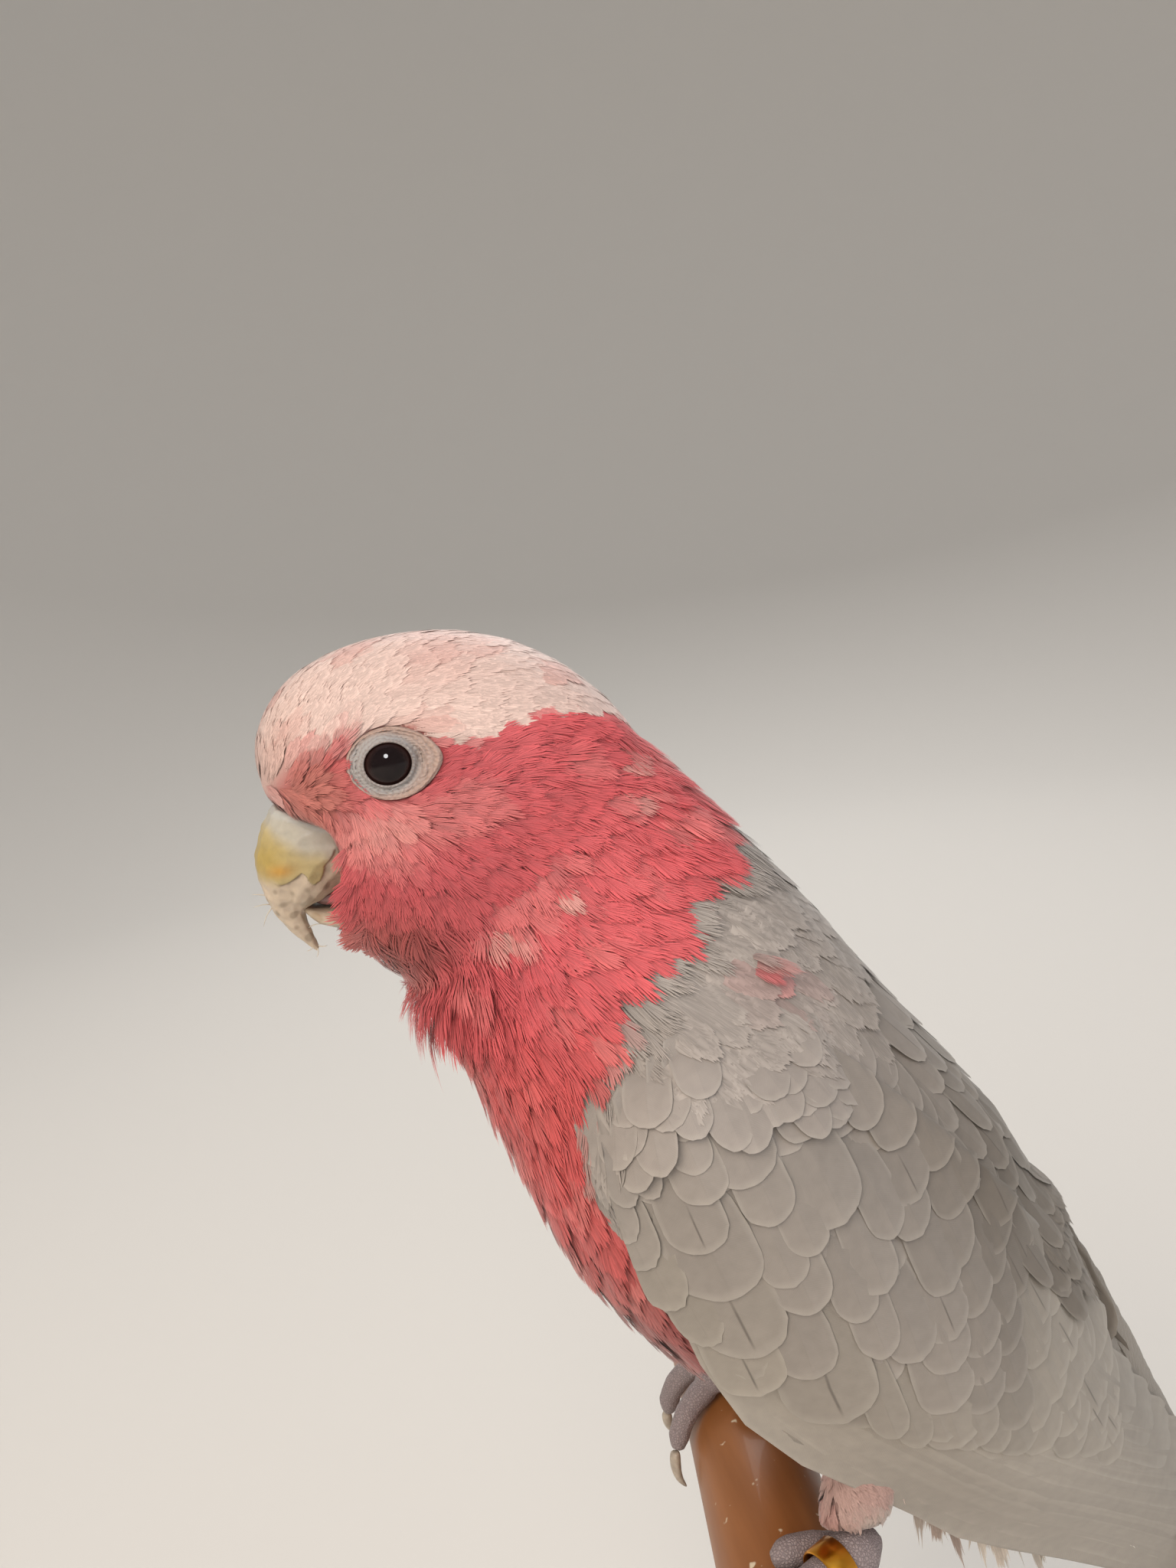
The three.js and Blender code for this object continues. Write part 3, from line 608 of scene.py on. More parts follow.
def lid_skin(side):
    """The bare skin round one eye, as a mesh with its colours."""
    bm = bmesh.new()
    bmesh.ops.create_grid(bm, x_segments=RING_TURNS, y_segments=RING_STEPS, size=0.5)
    middle = eye_middle[side]
    colours = {}
    for vert in bm.verts:
        angle, out = (vert.co.x + 0.5) * math.tau, vert.co.y + 0.5
        c, s = math.cos(angle), math.sin(angle)
        rear = max(0.0, c) ** 6 * 1.1
        wide = [LID_OPENING[i] * (1 - out) + (RING_SIZE[i] + (rear if i == 0 else 0)) * out for i in (0, 1)]
        x = middle.x + 0.7 * out + wide[0] * c
        z = middle.z - 0.2 * out + wide[1] * s
        r = math.hypot(x - middle.x, z - middle.z)
        ball = math.sqrt(max(0.0, (EYE_RADIUS + 0.35) ** 2 - r * r)) if r < EYE_RADIUS else 0.0
        hit = cad_head.ray_cast(Vector((x, side * 60, z)) * MM, Vector((0, -side, 0)))[0]
        wall = max(RING_WALL, abs(hit.y) / MM if hit is not None else 18.0)
        bead = math.sin(angle * 37 + 8 * out + 2.6 * math.sin(4 * angle + 9 * out))
        fold = math.sin(out * 31 + 2.4 * math.sin(2 * angle + 1) + 1.6 * math.sin(5 * angle + 2)
                        + 1.1 * math.sin(9 * angle + 6 * out) + 0.6 * bead)
        patchy = 0.5 + 0.5 * math.sin(3 * angle + 9 * out + 2 * math.sin(5 * angle)
                                      + 1.3 * math.sin(7 * angle + 14 * out))
        worn = ease(np.array(out), 0.14, 0.30) * ease(np.array(-out), -0.98, -0.8)
        pebble = (math.sin(angle * 61 + 23 * out + 3 * math.sin(6 * angle))
                  * math.sin(out * 57 + 2 * math.sin(8 * angle)))
        folds = (0.15 * fold * patchy**2 + 0.07 * bead * (1 - 0.5 * patchy) + 0.06 * pebble) * worn
        margin = 0.34 * math.exp(-((out - 0.10) / 0.07) ** 2) * (1 + 0.25 * bead)
        rim_place = 0.80 + 0.04 * math.sin(3 * angle)
        outer_rim = (0.55 if s < 0 else 0.25) * math.exp(-((out - rim_place) / 0.08) ** 2)
        blend = float(ease(np.array(out), 0.12, 0.45))
        lean = abs(middle.y) + ball
        depth_here = lean * (1 - blend) + (wall - 0.45) * blend + margin + outer_rim + float(folds)
        if r < EYE_RADIUS:
            on_ball = abs(middle.y) + math.sqrt(EYE_RADIUS**2 - r * r)
            depth_here = max(depth_here, on_ball + LID_CLEAR + 0.5 * float(folds))
        depth_here -= RIM_SUNK * float(ease(np.array(out), 0.9, 1.0))
        vert.co = Vector((x, side * depth_here, z)) * MM
        colours[vert] = (out, fold, c, bead)
    bmesh.ops.remove_doubles(bm, verts=bm.verts, dist=1e-6)
    kept = [colours[v] for v in bm.verts]
    bmesh.ops.recalc_face_normals(bm, faces=bm.faces)
    mesh = bpy.data.meshes.new("lids")
    bm.to_mesh(mesh)
    bm.free()
    if mesh.polygons[0].normal.y * side < 0:
        mesh.flip_normals()
    out, fold, rearward, bead = (np.array(values) for values in zip(*kept))
    tone = np.tile(np.array(linear(LID_COLOURS[0])), (len(out), 1))
    tone = mixed_colour(tone, LID_COLOURS[2], ease(out, 0.5, 0.85) * 0.7)
    tone = mixed_colour(tone, LID_COLOURS[3], 1 - ease(out + 0.25 * rearward, 0.3, 0.75))
    # Painted shade in the troughs of the folds and beads, and in the crease where the lid margin meets the
    # eyeball.
    tone = mixed_colour(tone, LID_COLOURS[1], 0.32 * ease(-fold, 0.0, 1.0) + 0.16 * ease(-bead, 0, 1))
    tone = mixed_colour(tone, LID_COLOURS[1], 0.8 * np.exp(-(out / 0.05) ** 2))
    tinted(mesh, tone)
    return mesh


# Thin living skin: a soft shine on its beads and a little light let through.
bare_skin, shader = material("bare wrinkled eye skin", LID_COLOURS[0], 0.55, Subsurface_Weight=0.15)
shader.inputs["Subsurface Radius"].default_value = (0.002, 0.001, 0.0006)
shader.inputs["Subsurface Scale"].default_value = 0.5
tree = bare_skin.node_tree
tint = node(tree, "ShaderNodeAttribute", attribute_name="tint").outputs["Color"]
tree.links.new(tint, shader.inputs["Base Color"])
place = node(tree, "ShaderNodeTexCoord").outputs["Object"]
pores = node(tree, "ShaderNodeTexVoronoi", [("Vector", place), ("Scale", 1900.0)])
bump = node(tree, "ShaderNodeBump", [
    ("Height", pores.outputs["Distance"]), ("Strength", 0.35), ("Distance", 0.0002)])
tree.links.new(bump.outputs[0], shader.inputs["Normal"])

lids = [lid_skin(side) for side in (-1, 1)]
whole = bmesh.new()
parts = [(body_mesh, 0), (foot_mesh, 1), (lids[0], 2), (lids[1], 2)]
tinted(foot_mesh, np.tile(np.array(linear(FOOT_GREY)), (len(foot_mesh.vertices), 1)))
for mesh, index in parts:
    first = len(whole.faces)
    whole.from_mesh(mesh)
    whole.faces.ensure_lookup_table()
    for face in whole.faces[first:]:
        face.material_index = index
skin = shown("skin", whole, down)
skin.data.materials.append(scaly)
skin.data.materials.append(bare_skin)
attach(skin, "root")
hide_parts(*FEATHERED, "tail", *SCALY)


# ---------------------------------------------------------------- claws and leg ring
# Curved grey-brown horn claws streaked with paler horn, and a thin anodised aluminium ring that
# was closed over the foot when the bird was a chick. Its text is left off.

CLAW_COLOURS = ("#7D736B", "#C9BCA9")

# Horn is smooth and a little shiny, with streaks along the claw.
horn_claw, shader = material("grey claw horn", CLAW_COLOURS[0], 0.35)
tree = horn_claw.node_tree
place = node(tree, "ShaderNodeTexCoord").outputs["Object"]
fibre = node(tree, "ShaderNodeTexNoise", [("Vector", place), ("Scale", 700.0), ("Detail", 3.0)])
tone = node(tree, "ShaderNodeMix", [
    ("Factor", fibre.outputs["Fac"]), ("A", (*linear(CLAW_COLOURS[0]), 1)),
    ("B", (*linear(CLAW_COLOURS[1]), 1))], data_type="RGBA")
tree.links.new(tone.outputs["Result"], shader.inputs["Base Color"])

CLAWS = [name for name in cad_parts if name.startswith("claw")]
for name in CLAWS:
    bm = bmesh.new()
    bm.from_mesh(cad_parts[name].data)
    bmesh.ops.remove_doubles(bm, verts=bm.verts, dist=1e-6)
    claw = shown(name + "_horn", bm, horn_claw)
    round_off = claw.modifiers.new("round", "SUBSURF")
    round_off.levels = round_off.render_levels = 2
    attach(claw, "root")
    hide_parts(name)

RING_EDGE = 0.25 * MM
RING_ORANGE, RING_WORN, RING_BRIGHT = "#F0A21E", "#E08C12", "#F6B53A"
ring_points = points_of("leg_ring")
ring_middle = ring_points.mean(axis=0)
ring_axis = np.linalg.svd(ring_points - ring_middle)[2][2]
heights = (ring_points - ring_middle) @ ring_axis
radii = np.linalg.norm(ring_points - ring_middle - heights[:, None] * ring_axis, axis=1)
RING_HALF, RING_IN, RING_OUT = heights.max(), radii.min(), radii.max()

# The anodised layer is a clear coloured coat over the metal, with scuffs from years of wear.
anodised, shader = material("orange anodised aluminium", RING_ORANGE, 0.28, Metallic=1.0, Coat_Weight=0.4)
tree = anodised.node_tree
place = node(tree, "ShaderNodeTexCoord").outputs["Object"]
wear = node(tree, "ShaderNodeTexNoise", [("Vector", place), ("Scale", 500.0), ("Detail", 4.0)])
tone = node(tree, "ShaderNodeMix", [
    ("Factor", wear.outputs["Fac"]), ("A", (*linear(RING_WORN), 1)), ("B", (*linear(RING_BRIGHT), 1))],
    data_type="RGBA")
tree.links.new(tone.outputs["Result"], shader.inputs["Base Color"])

bm = bmesh.new()
section = [(RING_IN, -RING_HALF + RING_EDGE), (RING_IN + RING_EDGE, -RING_HALF),
           (RING_OUT - RING_EDGE, -RING_HALF), (RING_OUT, -RING_HALF + RING_EDGE),
           (RING_OUT, RING_HALF - RING_EDGE), (RING_OUT - RING_EDGE, RING_HALF),
           (RING_IN + RING_EDGE, RING_HALF), (RING_IN, RING_HALF - RING_EDGE)]
chain = [bm.verts.new((radius, 0, height)) for radius, height in section]
loop = [bm.edges.new((a, b)) for a, b in zip(chain, chain[1:] + chain[:1])]
bmesh.ops.spin(bm, geom=chain + loop, axis=(0, 0, 1), cent=(0, 0, 0), angle=math.tau, steps=72,
               use_merge=True)
bmesh.ops.recalc_face_normals(bm, faces=bm.faces)
leaning = Vector((0, 0, 1)).rotation_difference(Vector(ring_axis)).to_matrix().to_4x4()
bmesh.ops.transform(bm, verts=bm.verts, matrix=Matrix.Translation(ring_middle) @ leaning)
band = shown("leg_ring_band", bm, anodised)
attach(band, "root")
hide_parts("leg_ring")


# ---------------------------------------------------------------- the bill
# Horn over bone. The upper bill is grey-white at the cere and cream-yellow in front,
# where its outer layer ends in a chipped edge; below that the older, flaking horn runs
# out to a thin hooked tip. The mouth is a little open on a grey-pink tongue.

BILL_VOXEL = 0.26 * MM
BILL_GREY, BILL_CREAM, BILL_STAIN, BILL_TIP = "#B5B0A3", "#B5A476", "#BE8A30", "#C6B5A0"
BILL_OLIVE, BILL_BAND, BILL_CRACK = "#A88F45", "#B6B5AF", "#6E5D49"
LOWER_HORN, LOWER_STAIN, TONGUE_PINK = "#BAAB97", "#A08A70", "#8D6F6C"
PLATE_EDGE = [  # x, z along the chipped lower edge of the outer layer, from the ridge back
    (-84, 325.5), (-79.7, 324.4), (-77.2, 323.6), (-75.6, 323.9), (-73.8, 324.3), (-72.6, 324.9),
    (-71.8, 323.8), (-70.7, 322.3), (-69.6, 322.6), (-68.2, 325.6), (-66, 328), (-60, 329)]
PLATE_STEP = 0.34  # mm that the outer layer stands above the horn below it
TOMIUM_DROP = 2.0  # mm that the cutting edge hangs lower near the corner of the mouth

bill_mesh = remeshed(["bill_upper"], BILL_VOXEL, 6)
bill_places, bill_normals = coordinates(bill_mesh), normals_of(bill_mesh)
drop = ease(bill_places[:, 0] / MM, -77, -72) * ease(-bill_places[:, 2] / MM, -325, -320)
bill_places[:, 2] -= TOMIUM_DROP * MM * drop * ease(bill_places[:, 2] / MM, 312, 316)
bill_x, bill_z = bill_places[:, 0] / MM, bill_places[:, 2] / MM
edge_z = np.interp(bill_x, *zip(*PLATE_EDGE)) + 0.35 * ripple(bill_places, 1.6, 21)
soft = np.interp(bill_x, [-82, -78.5, -76.5], [3.2, 1.8, 0.12])
plate = ease((bill_z - edge_z) / soft, -1, 1)
flaking = np.clip(ripple(bill_places, 2.2, 22), 0, 1) * (1 - plate)
lift = (plate - 1) * PLATE_STEP + 0.16 * flaking + 0.05 * ripple(bill_places, 0.9, 23) * (1 - plate)
lift += 0.05 * np.sin(bill_z * 2.6 + 0.8 * ripple(bill_places, 5, 24)) * plate
band_line = 335.3 - 0.45 * (bill_x + 73.8)  # the lower edge of the grey band at the cere
lift += 0.14 * ease(bill_z - band_line - 0.4 * ripple(bill_places, 1.5, 28), -0.3, 0.2)
bill_places = bill_places + bill_normals * (lift * MM)[:, None]
bill_mesh.vertices.foreach_set("co", bill_places.ravel())

tone = np.tile(np.array(linear(BILL_GREY)), (len(bill_places), 1))
cream_top = np.interp(bill_x, [-82, -78, -74.3, -70.6, -66], [342, 335, 330.6, 327.8, 326])
cream = ease(cream_top - bill_z + 0.6 * ripple(bill_places, 3, 27), -2.2, 2.2)
tone = mixed_colour(tone, BILL_CREAM, cream)
tone = mixed_colour(tone, BILL_OLIVE, 0.75 * spot(bill_places, (-78.6, 328.6), (3.6, 3.4)))
tone = mixed_colour(tone, BILL_STAIN, 0.75 * spot(bill_places, (-76.2, 326.2), (2.4, 1.2)))
band = ease(bill_z - (band_line + 0.35 * ripple(bill_places, 2, 28)), -0.7, 0.5)
tone = mixed_colour(tone, BILL_BAND, band)
tone = mixed_colour(tone, BILL_TIP, 1 - plate)
tone = mixed_colour(tone, BILL_CRACK, (1 - plate) * 0.5 * ease(ripple(bill_places, 1.4, 25), 0.3, 1.2))
crack = np.exp(-((bill_z - edge_z) / 0.16) ** 2) * ease(bill_x, -78.5, -76.5)
tone = mixed_colour(tone, BILL_CRACK, 0.6 * crack)
tinted(bill_mesh, tone)


def horn(name, roughness, bump_size):
    """Layered keratin: tinted, faintly translucent, with fine growth lines."""
    made, shader = material(name, BILL_GREY, roughness, Subsurface_Weight=0.12)
    shader.inputs["Subsurface Radius"].default_value = (0.002, 0.0014, 0.0008)
    shader.inputs["Subsurface Scale"].default_value = 0.5
    tree = made.node_tree
    tint = node(tree, "ShaderNodeAttribute", attribute_name="tint").outputs["Color"]
    place = node(tree, "ShaderNodeTexCoord").outputs["Object"]
    mottle = node(tree, "ShaderNodeTexNoise", [("Vector", place), ("Scale", 600.0), ("Detail", 6.0)])
    shade = node(tree, "ShaderNodeMapRange", [
        ("Value", mottle.outputs["Fac"]), ("To Min", 0.82), ("To Max", 1.14)])
    toned = node(tree, "ShaderNodeVectorMath", [
        (0, tint), ("Scale", shade.outputs[0])], operation="SCALE")
    tree.links.new(toned.outputs[0], shader.inputs["Base Color"])
    bump = node(tree, "ShaderNodeBump", [
        ("Height", mottle.outputs["Fac"]), ("Strength", 0.5), ("Distance", bump_size)])
    tree.links.new(bump.outputs[0], shader.inputs["Normal"])
    return made


def placed(name, mesh, finish, slot_name, *nodes):
    """Shows a finished mesh in place of CAD nodes."""
    mesh.name = name
    mesh.materials.clear()
    mesh.materials.append(finish)
    mesh.polygons.foreach_set("use_smooth", [True] * len(mesh.polygons))
    made = bpy.data.objects.new(name, mesh)
    bpy.context.scene.collection.objects.link(made)
    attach(made, "root")
    if nodes:
        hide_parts(*nodes)
    return made


# The bill's horn is half matt with worn, mottled layers; the tongue is moist and shines more.
keratin = horn("layered bill horn", 0.42, 0.25 * MM)
tongue_skin = horn("moist tongue", 0.25, 0.1 * MM)

placed("bill_upper_horn", bill_mesh, keratin, "horn", "bill_upper")
lower_mesh = remeshed(["bill_lower"], BILL_VOXEL, 5)
lower_places = coordinates(lower_mesh)
tone = np.tile(np.array(linear(LOWER_HORN)), (len(lower_places), 1))
tone = mixed_colour(tone, LOWER_STAIN, ease(ripple(lower_places, 2, 26), 0.2, 1.0) * 0.6)
tinted(lower_mesh, tone)
placed("bill_lower_horn", lower_mesh, keratin, "horn", "bill_lower")
tongue_mesh = remeshed(["tongue"], BILL_VOXEL, 5)
tinted(tongue_mesh, np.tile(np.array(linear(TONGUE_PINK)), (len(tongue_mesh.vertices), 1)))
placed("tongue_flesh", tongue_mesh, tongue_skin, "skin", "tongue")

# Frayed threads of worn horn that hang from the bill's front and tip.
FIBRE_RADIUS, FIBRE_SIDES = 0.13 * MM, 5
FIBRES = [  # x, y, z of points along each thread, mm
    [(-79.6, -1.5, 320.8), (-81.2, -1.9, 321.6), (-82.6, -2.0, 321.8)],
    [(-79.6, -1.0, 319.0), (-81.0, -1.6, 319.6), (-83.0, -1.8, 319.2)],
    [(-79.4, -1.2, 318.4), (-80.9, -1.8, 317.4), (-81.6, -2.1, 315.2)],
    [(-73.0, -0.4, 309.4), (-73.9, -0.9, 308.6), (-74.9, -1.0, 308.6)],
    [(-72.8, -0.3, 308.8), (-72.6, -0.9, 307.7), (-73.3, -1.1, 307.0)],
    [(-72.6, -0.2, 309.0), (-71.6, -0.6, 308.5), (-70.8, -0.8, 308.9)],
    [(-73.6, -1.4, 313.2), (-72.4, -2.0, 313.9), (-70.9, -2.2, 313.5)]]

threads = bmesh.new()
for path in FIBRES:
    first, middle, last = (Vector(point) * MM for point in path)
    rings = []
    for step in range(5):
        t = step / 5
        centre = first * (1 - t) ** 2 + middle * (2 * t * (1 - t)) + last * t * t
        way = ((middle - first) * (1 - t) + (last - middle) * t).normalized()
        one = way.cross(Vector((0, 1, 0))).normalized()
        two = way.cross(one)
        rings.append([threads.verts.new(centre + (
            one * math.cos(turn) + two * math.sin(turn)) * FIBRE_RADIUS * (1 - 0.6 * t))
            for turn in (math.tau * i / FIBRE_SIDES for i in range(FIBRE_SIDES))])
    tip = threads.verts.new(last)
    for low, high in zip(rings, rings[1:]):
        for i in range(FIBRE_SIDES):
            j = (i + 1) % FIBRE_SIDES
            threads.faces.new((low[i], low[j], high[j], high[i]))
    for i in range(FIBRE_SIDES):
        threads.faces.new((rings[-1][i], rings[-1][(i + 1) % FIBRE_SIDES], tip))
    threads.faces.new(rings[0][::-1])
bmesh.ops.recalc_face_normals(threads, faces=threads.faces)

# Worn horn fibres are dry, pale and without shine.
frayed, _ = material("frayed horn threads", "#CFC6B6", 0.6)
fibres = shown("bill_fibres", threads, frayed)
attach(fibres, "root")


# ---------------------------------------------------------------- the eyes
# A glossy ball, almost black: a dark brown iris round a wide pupil, under a clear
# cornea. It sits in the head with only the front of it open between the lids.

IRIS_RADIUS, PUPIL_RADIUS = 4.6, 3.1
PUPIL_BLACK, IRIS_BROWN, EYE_EDGE = "#150C0E", "#2B1917", "#160C0C"

# The wet cornea gives one sharp highlight over a surface that is otherwise nearly black.
eye_wet, shader = material("dark brown eye under a clear cornea", "#170B08", 0.05, IOR=1.38)
shader.inputs["Specular IOR Level"].default_value = 0.42
tree = eye_wet.node_tree
tint = node(tree, "ShaderNodeAttribute", attribute_name="tint").outputs["Color"]
tree.links.new(tint, shader.inputs["Base Color"])
for side, name in ((-1, "eye_left"), (1, "eye_right")):
    bm = bmesh.new()
    bmesh.ops.create_uvsphere(bm, u_segments=64, v_segments=40, radius=EYE_RADIUS * MM)
    bmesh.ops.rotate(bm, verts=bm.verts, matrix=Matrix.Rotation(math.pi / 2, 3, "X"))
    bmesh.ops.translate(bm, verts=bm.verts, vec=eye_middle[side] * MM)
    mesh = bpy.data.meshes.new(name)
    bm.to_mesh(mesh)
    bm.free()
    spots = coordinates(mesh) / MM - np.array(eye_middle[side])
    off_axis = np.hypot(spots[:, 0], spots[:, 2])
    tone = np.tile(np.array(linear(PUPIL_BLACK)), (len(spots), 1))
    tone = mixed_colour(tone, IRIS_BROWN, ease(off_axis, PUPIL_RADIUS - 0.5, PUPIL_RADIUS + 0.7))
    tone = mixed_colour(tone, EYE_EDGE, ease(off_axis, IRIS_RADIUS - 0.5, IRIS_RADIUS + 0.2))
    tinted(mesh, tone)
    placed(name + "_ball", mesh, eye_wet, "eye", name)


# ---------------------------------------------------------------- the coat
# Every contour feather is a shaft with barbs that lie side by side near it and part at
# their ends, so that the rose and the pale cap look combed, like hair. Each feather
# creeps over the skin the way the coat lies, its tip over the root of the next.

LIE = [  # x, z, and the way the coat lies there, dx, dz, seen from the side
    (-76, 346, 0.30, 0.95), (-73, 353, 0.50, 0.83), (-65, 359, 0.60, 0.75), (-63, 349, 0.51, 0.85),
    (-51, 361, 0.83, 0.50), (-44, 362, 0.95, 0.25), (-35, 361, 1.00, 0.02), (-25, 357, 0.95, -0.28),
    (-16, 351, 0.85, -0.52), (-7, 343, 0.77, -0.64), (-51, 352, 0.98, 0.22), (-45, 349, 0.92, -0.35),
    (-40, 346, 0.95, -0.20), (-34, 347, 1.00, 0.00), (-24, 348, 0.97, -0.22), (-74, 339, 0.75, -0.55),
    (-69, 344, 0.60, 0.75), (-64, 340, 0.93, -0.15), (-65, 335, 0.10, -1.00), (-60, 333, 0.25, -0.97),
    (-53, 333, 0.69, -0.70), (-50, 336, 0.97, 0.10), (-44, 340, 0.97, 0.24), (-37, 340, 0.98, 0.15),
    (-44, 333, 0.94, -0.30), (-50, 327, 0.66, -0.75), (-58, 326, 0.26, -0.97), (-65, 327, -0.20, -0.98),
    (-68, 319, -0.62, -0.78), (-64, 319, -0.48, -0.88), (-60, 318, -0.15, -0.99), (-56, 315, 0.11, -0.99),
    (-51, 312, 0.30, -0.95), (-46, 312, 0.35, -0.93), (-38, 312, 0.45, -0.89), (-39, 320, 0.73, -0.68),
    (-39, 328, 0.90, -0.44), (-28, 327, 0.91, -0.40), (-32, 318, 0.67, -0.75), (-24, 319, 0.60, -0.80),
    (-22, 342, 0.97, -0.20), (-14, 336, 0.88, -0.48), (-3, 326, 0.76, -0.64), (-11, 318, 0.61, -0.76),
    (2, 316, 0.80, -0.60), (-48, 299, 0.28, -0.96), (-46, 293, 0.22, -0.97), (-39, 301, 0.32, -0.94),
    (-26, 305, 0.75, -0.60), (-18, 306, 0.85, -0.50), (-28, 294, 0.60, -0.78), (-38, 282, 0.55, -0.80),
    (-33, 280, 0.43, -0.90), (-42, 277, 0.35, -0.90), (-36, 268, 0.33, -0.93), (-32, 271, 0.23, -0.97),
    (-41, 251, 0.32, -0.94), (-35, 240, 0.45, -0.88), (-30, 235, 0.54, -0.80), (-3, 308, 0.82, -0.57),
    (8, 305, 0.76, -0.65), (13, 294, 0.63, -0.78), (22, 286, 0.50, -0.87), (45, 262, 0.52, -0.85),
    (62, 235, 0.45, -0.89), (72, 205, 0.40, -0.92), (82, 175, 0.50, -0.87), (-14, 212, 0.75, -0.66),
    (10, 190, 0.80, -0.60), (30, 185, 0.70, -0.71), (50, 160, 0.75, -0.66), (90, 145, 0.62, -0.79),
    (20, 210, 0.10, -0.99), (16, 180, -0.20, -0.98)]


def triangles_of(mesh):
    """The three vertices of each of a mesh's triangles."""
    mesh.calc_loop_triangles()
    corners = np.empty(len(mesh.loop_triangles) * 3, int)
    mesh.loop_triangles.foreach_get("vertices", corners)
    return corners.reshape(-1, 3)


class Skin:
    """A skin mesh that feathers are rooted on."""

    def __init__(self, mesh, depths):
        self.corners, self.places, normals = triangles_of(mesh), coordinates(mesh), normals_of(mesh)
        self.tree = BVHTree.FromPolygons(self.places.tolist(), self.corners.tolist())
        self.normals = normals[self.corners].mean(axis=1)
        self.normals /= np.linalg.norm(self.normals, axis=1)[:, None]
        self.centres = self.places[self.corners].mean(axis=1)
        a, b, c = (self.places[self.corners[:, i]] for i in range(3))
        self.areas = np.linalg.norm(np.cross(b - a, c - a), axis=1) / 2
        self.depths = depths[self.corners].mean(axis=1)

    def nearest(self, places):
        """The skin's nearest points and its normals there."""
        found = [self.tree.find_nearest(p) for p in places.tolist()]
        return np.array([f[0][:] for f in found]), self.normals[[f[2] for f in found]]


def scatter(surface, gap_at, where, seed):
    """Roots spread evenly over part of the skin, about gap_at apart (mm), and their faces."""
    draw = np.random.default_rng(seed)
    gaps = gap_at(surface.centres) * MM
    wanted = surface.areas * where / gaps**2
    total = int(5 * wanted.sum())
    faces = draw.choice(len(wanted), total, p=wanted / wanted.sum())
    u, v = draw.random((2, total, 1))
    fold = u + v > 1
    u, v = np.where(fold, 1 - u, u), np.where(fold, 1 - v, v)
    a, b, c = (surface.places[surface.corners[faces, i]] for i in range(3))
    places = a + (b - a) * u + (c - a) * v
    gap = gap_at(places) * MM
    near_by = KDTree(total)
    for i, p in enumerate(places):
        near_by.insert(p, i)
    near_by.balance()
    free, kept = np.ones(total, bool), []
    for i in range(total):
        if free[i]:
            kept.append(i)
            for _, j, _ in near_by.find_range(places[i], gap[i]):
                free[j] = False
    return places[kept], faces[kept]


def unit(vectors):
    """The vectors at length 1."""
    return vectors / np.maximum(np.linalg.norm(vectors, axis=-1), 1e-9)[..., None]


def lie_of(table, places, normals):
    """The way the coat lies at each place, along the skin."""
    guide = np.array(table, float)
    off = places[:, None, (0, 2)] / MM - guide[None, :, :2]
    weight = 1 / ((off**2).sum(axis=2) + 3.0) ** 1.6
    way = weight @ guide[:, 2:] / weight.sum(axis=1)[:, None]
    way = np.column_stack([way[:, 0], np.zeros(len(way)), way[:, 1]])
    return unit(way - normals * (way * normals).sum(axis=1)[:, None])


BEND_LIMIT = 0.72  # a feather goes straight on where the skin turns away by more than this cosine


def creep(surface, roots, lengths, table, turn, steps=4, bend=BEND_LIMIT):
    """Centre lines that start at the roots and follow the skin the way the coat lies."""
    line, up, here, last = [], [], roots, None
    for _ in range(steps + 1):
        hit, normal = surface.nearest(here)
        if last is not None:
            free = ((normal * up[-1]).sum(axis=1) < bend) & ((normal * last).sum(axis=1) > 0)
            hit, normal = np.where(free[:, None], here, hit), np.where(free[:, None], up[-1], normal)
        way = lie_of(table, hit, normal)
        way = way + np.cross(normal, way) * turn[:, None]
        if last is not None:
            way = np.where(free[:, None], last, way + 1.2 * last)
        way = unit(way - normal * (way * normal).sum(axis=1)[:, None])
        line.append(hit)
        up.append(normal)
        last = way
        here = hit + way * (lengths / steps)[:, None]
    return np.array(line), np.array(up)


class Shape:
    """One feather's shape: its points across and along it, their lift, tone and marks, and its faces."""

    def __init__(self):
        self.across, self.along, self.lift, self.tone, self.marks = [], [], [], [], []
        self.corners, self.sizes = [], []

    def point(self, across, along, lift, tone, mark):
        """Adds a point and gives its number."""
        for values, value in zip((self.across, self.along, self.lift, self.tone, self.marks),
                                 (across, along, lift, tone, mark)):
            values.append(value)
        return len(self.across) - 1

    def face(self, *corners):
        """Adds a face between points given by their numbers."""
        self.corners += corners
        self.sizes.append(len(corners))


def barbed(seed, pairs=8, fullness=1.2, fan=0.95, uneven=0.06, stray=0.05, opening=0.5, root_shade=0.7,
           loft=0.12):
    """A loose feather of separate barbs, in pairs along the shaft and one at its tip."""
    draw = np.random.default_rng(seed)
    shape = Shape()
    half = fullness / (2 * pairs + 1)
    for barb in range(-pairs, pairs + 1):
        out = barb / pairs
        start = opening * (1 - abs(out))
        end = (out * fan + draw.normal() * stray, 1 - 0.24 * out * out + draw.normal() * uneven)
        bend = (end[0] * 0.68 + draw.normal() * stray * 0.5, start + (end[1] - start) * 0.5)
        late = (end[0] * 0.93, start + (end[1] - start) * 0.82)
        tone, lift, chance = 1 + draw.normal() * 0.06, draw.random() * loft, draw.random()
        rows = []
        # Each barb is darkened towards the shaft by painted shade, where the feathers above cover it, and
        # is a little paler at its tip.
        for (across, along), width, shade in (
                ((out * 0.10, start), 0.5, root_shade), (bend, 1.0, (1 + root_shade) / 2), (late, 0.72, 1.0)):
            rows.append([shape.point(across + edge * half * width, along, lift * along, tone * shade,
                                     (edge, chance)) for edge in (-1, 1)])
        tip = shape.point(*end, lift, tone * 1.05, (0, chance))
        for (a, b), (c, d) in zip(rows, rows[1:]):
            shape.face(a, b, d, c)
        shape.face(*rows[-1], tip)
    return shape


ROOT_SINK = 0.2 * MM  # how far each feather's root goes into the skin


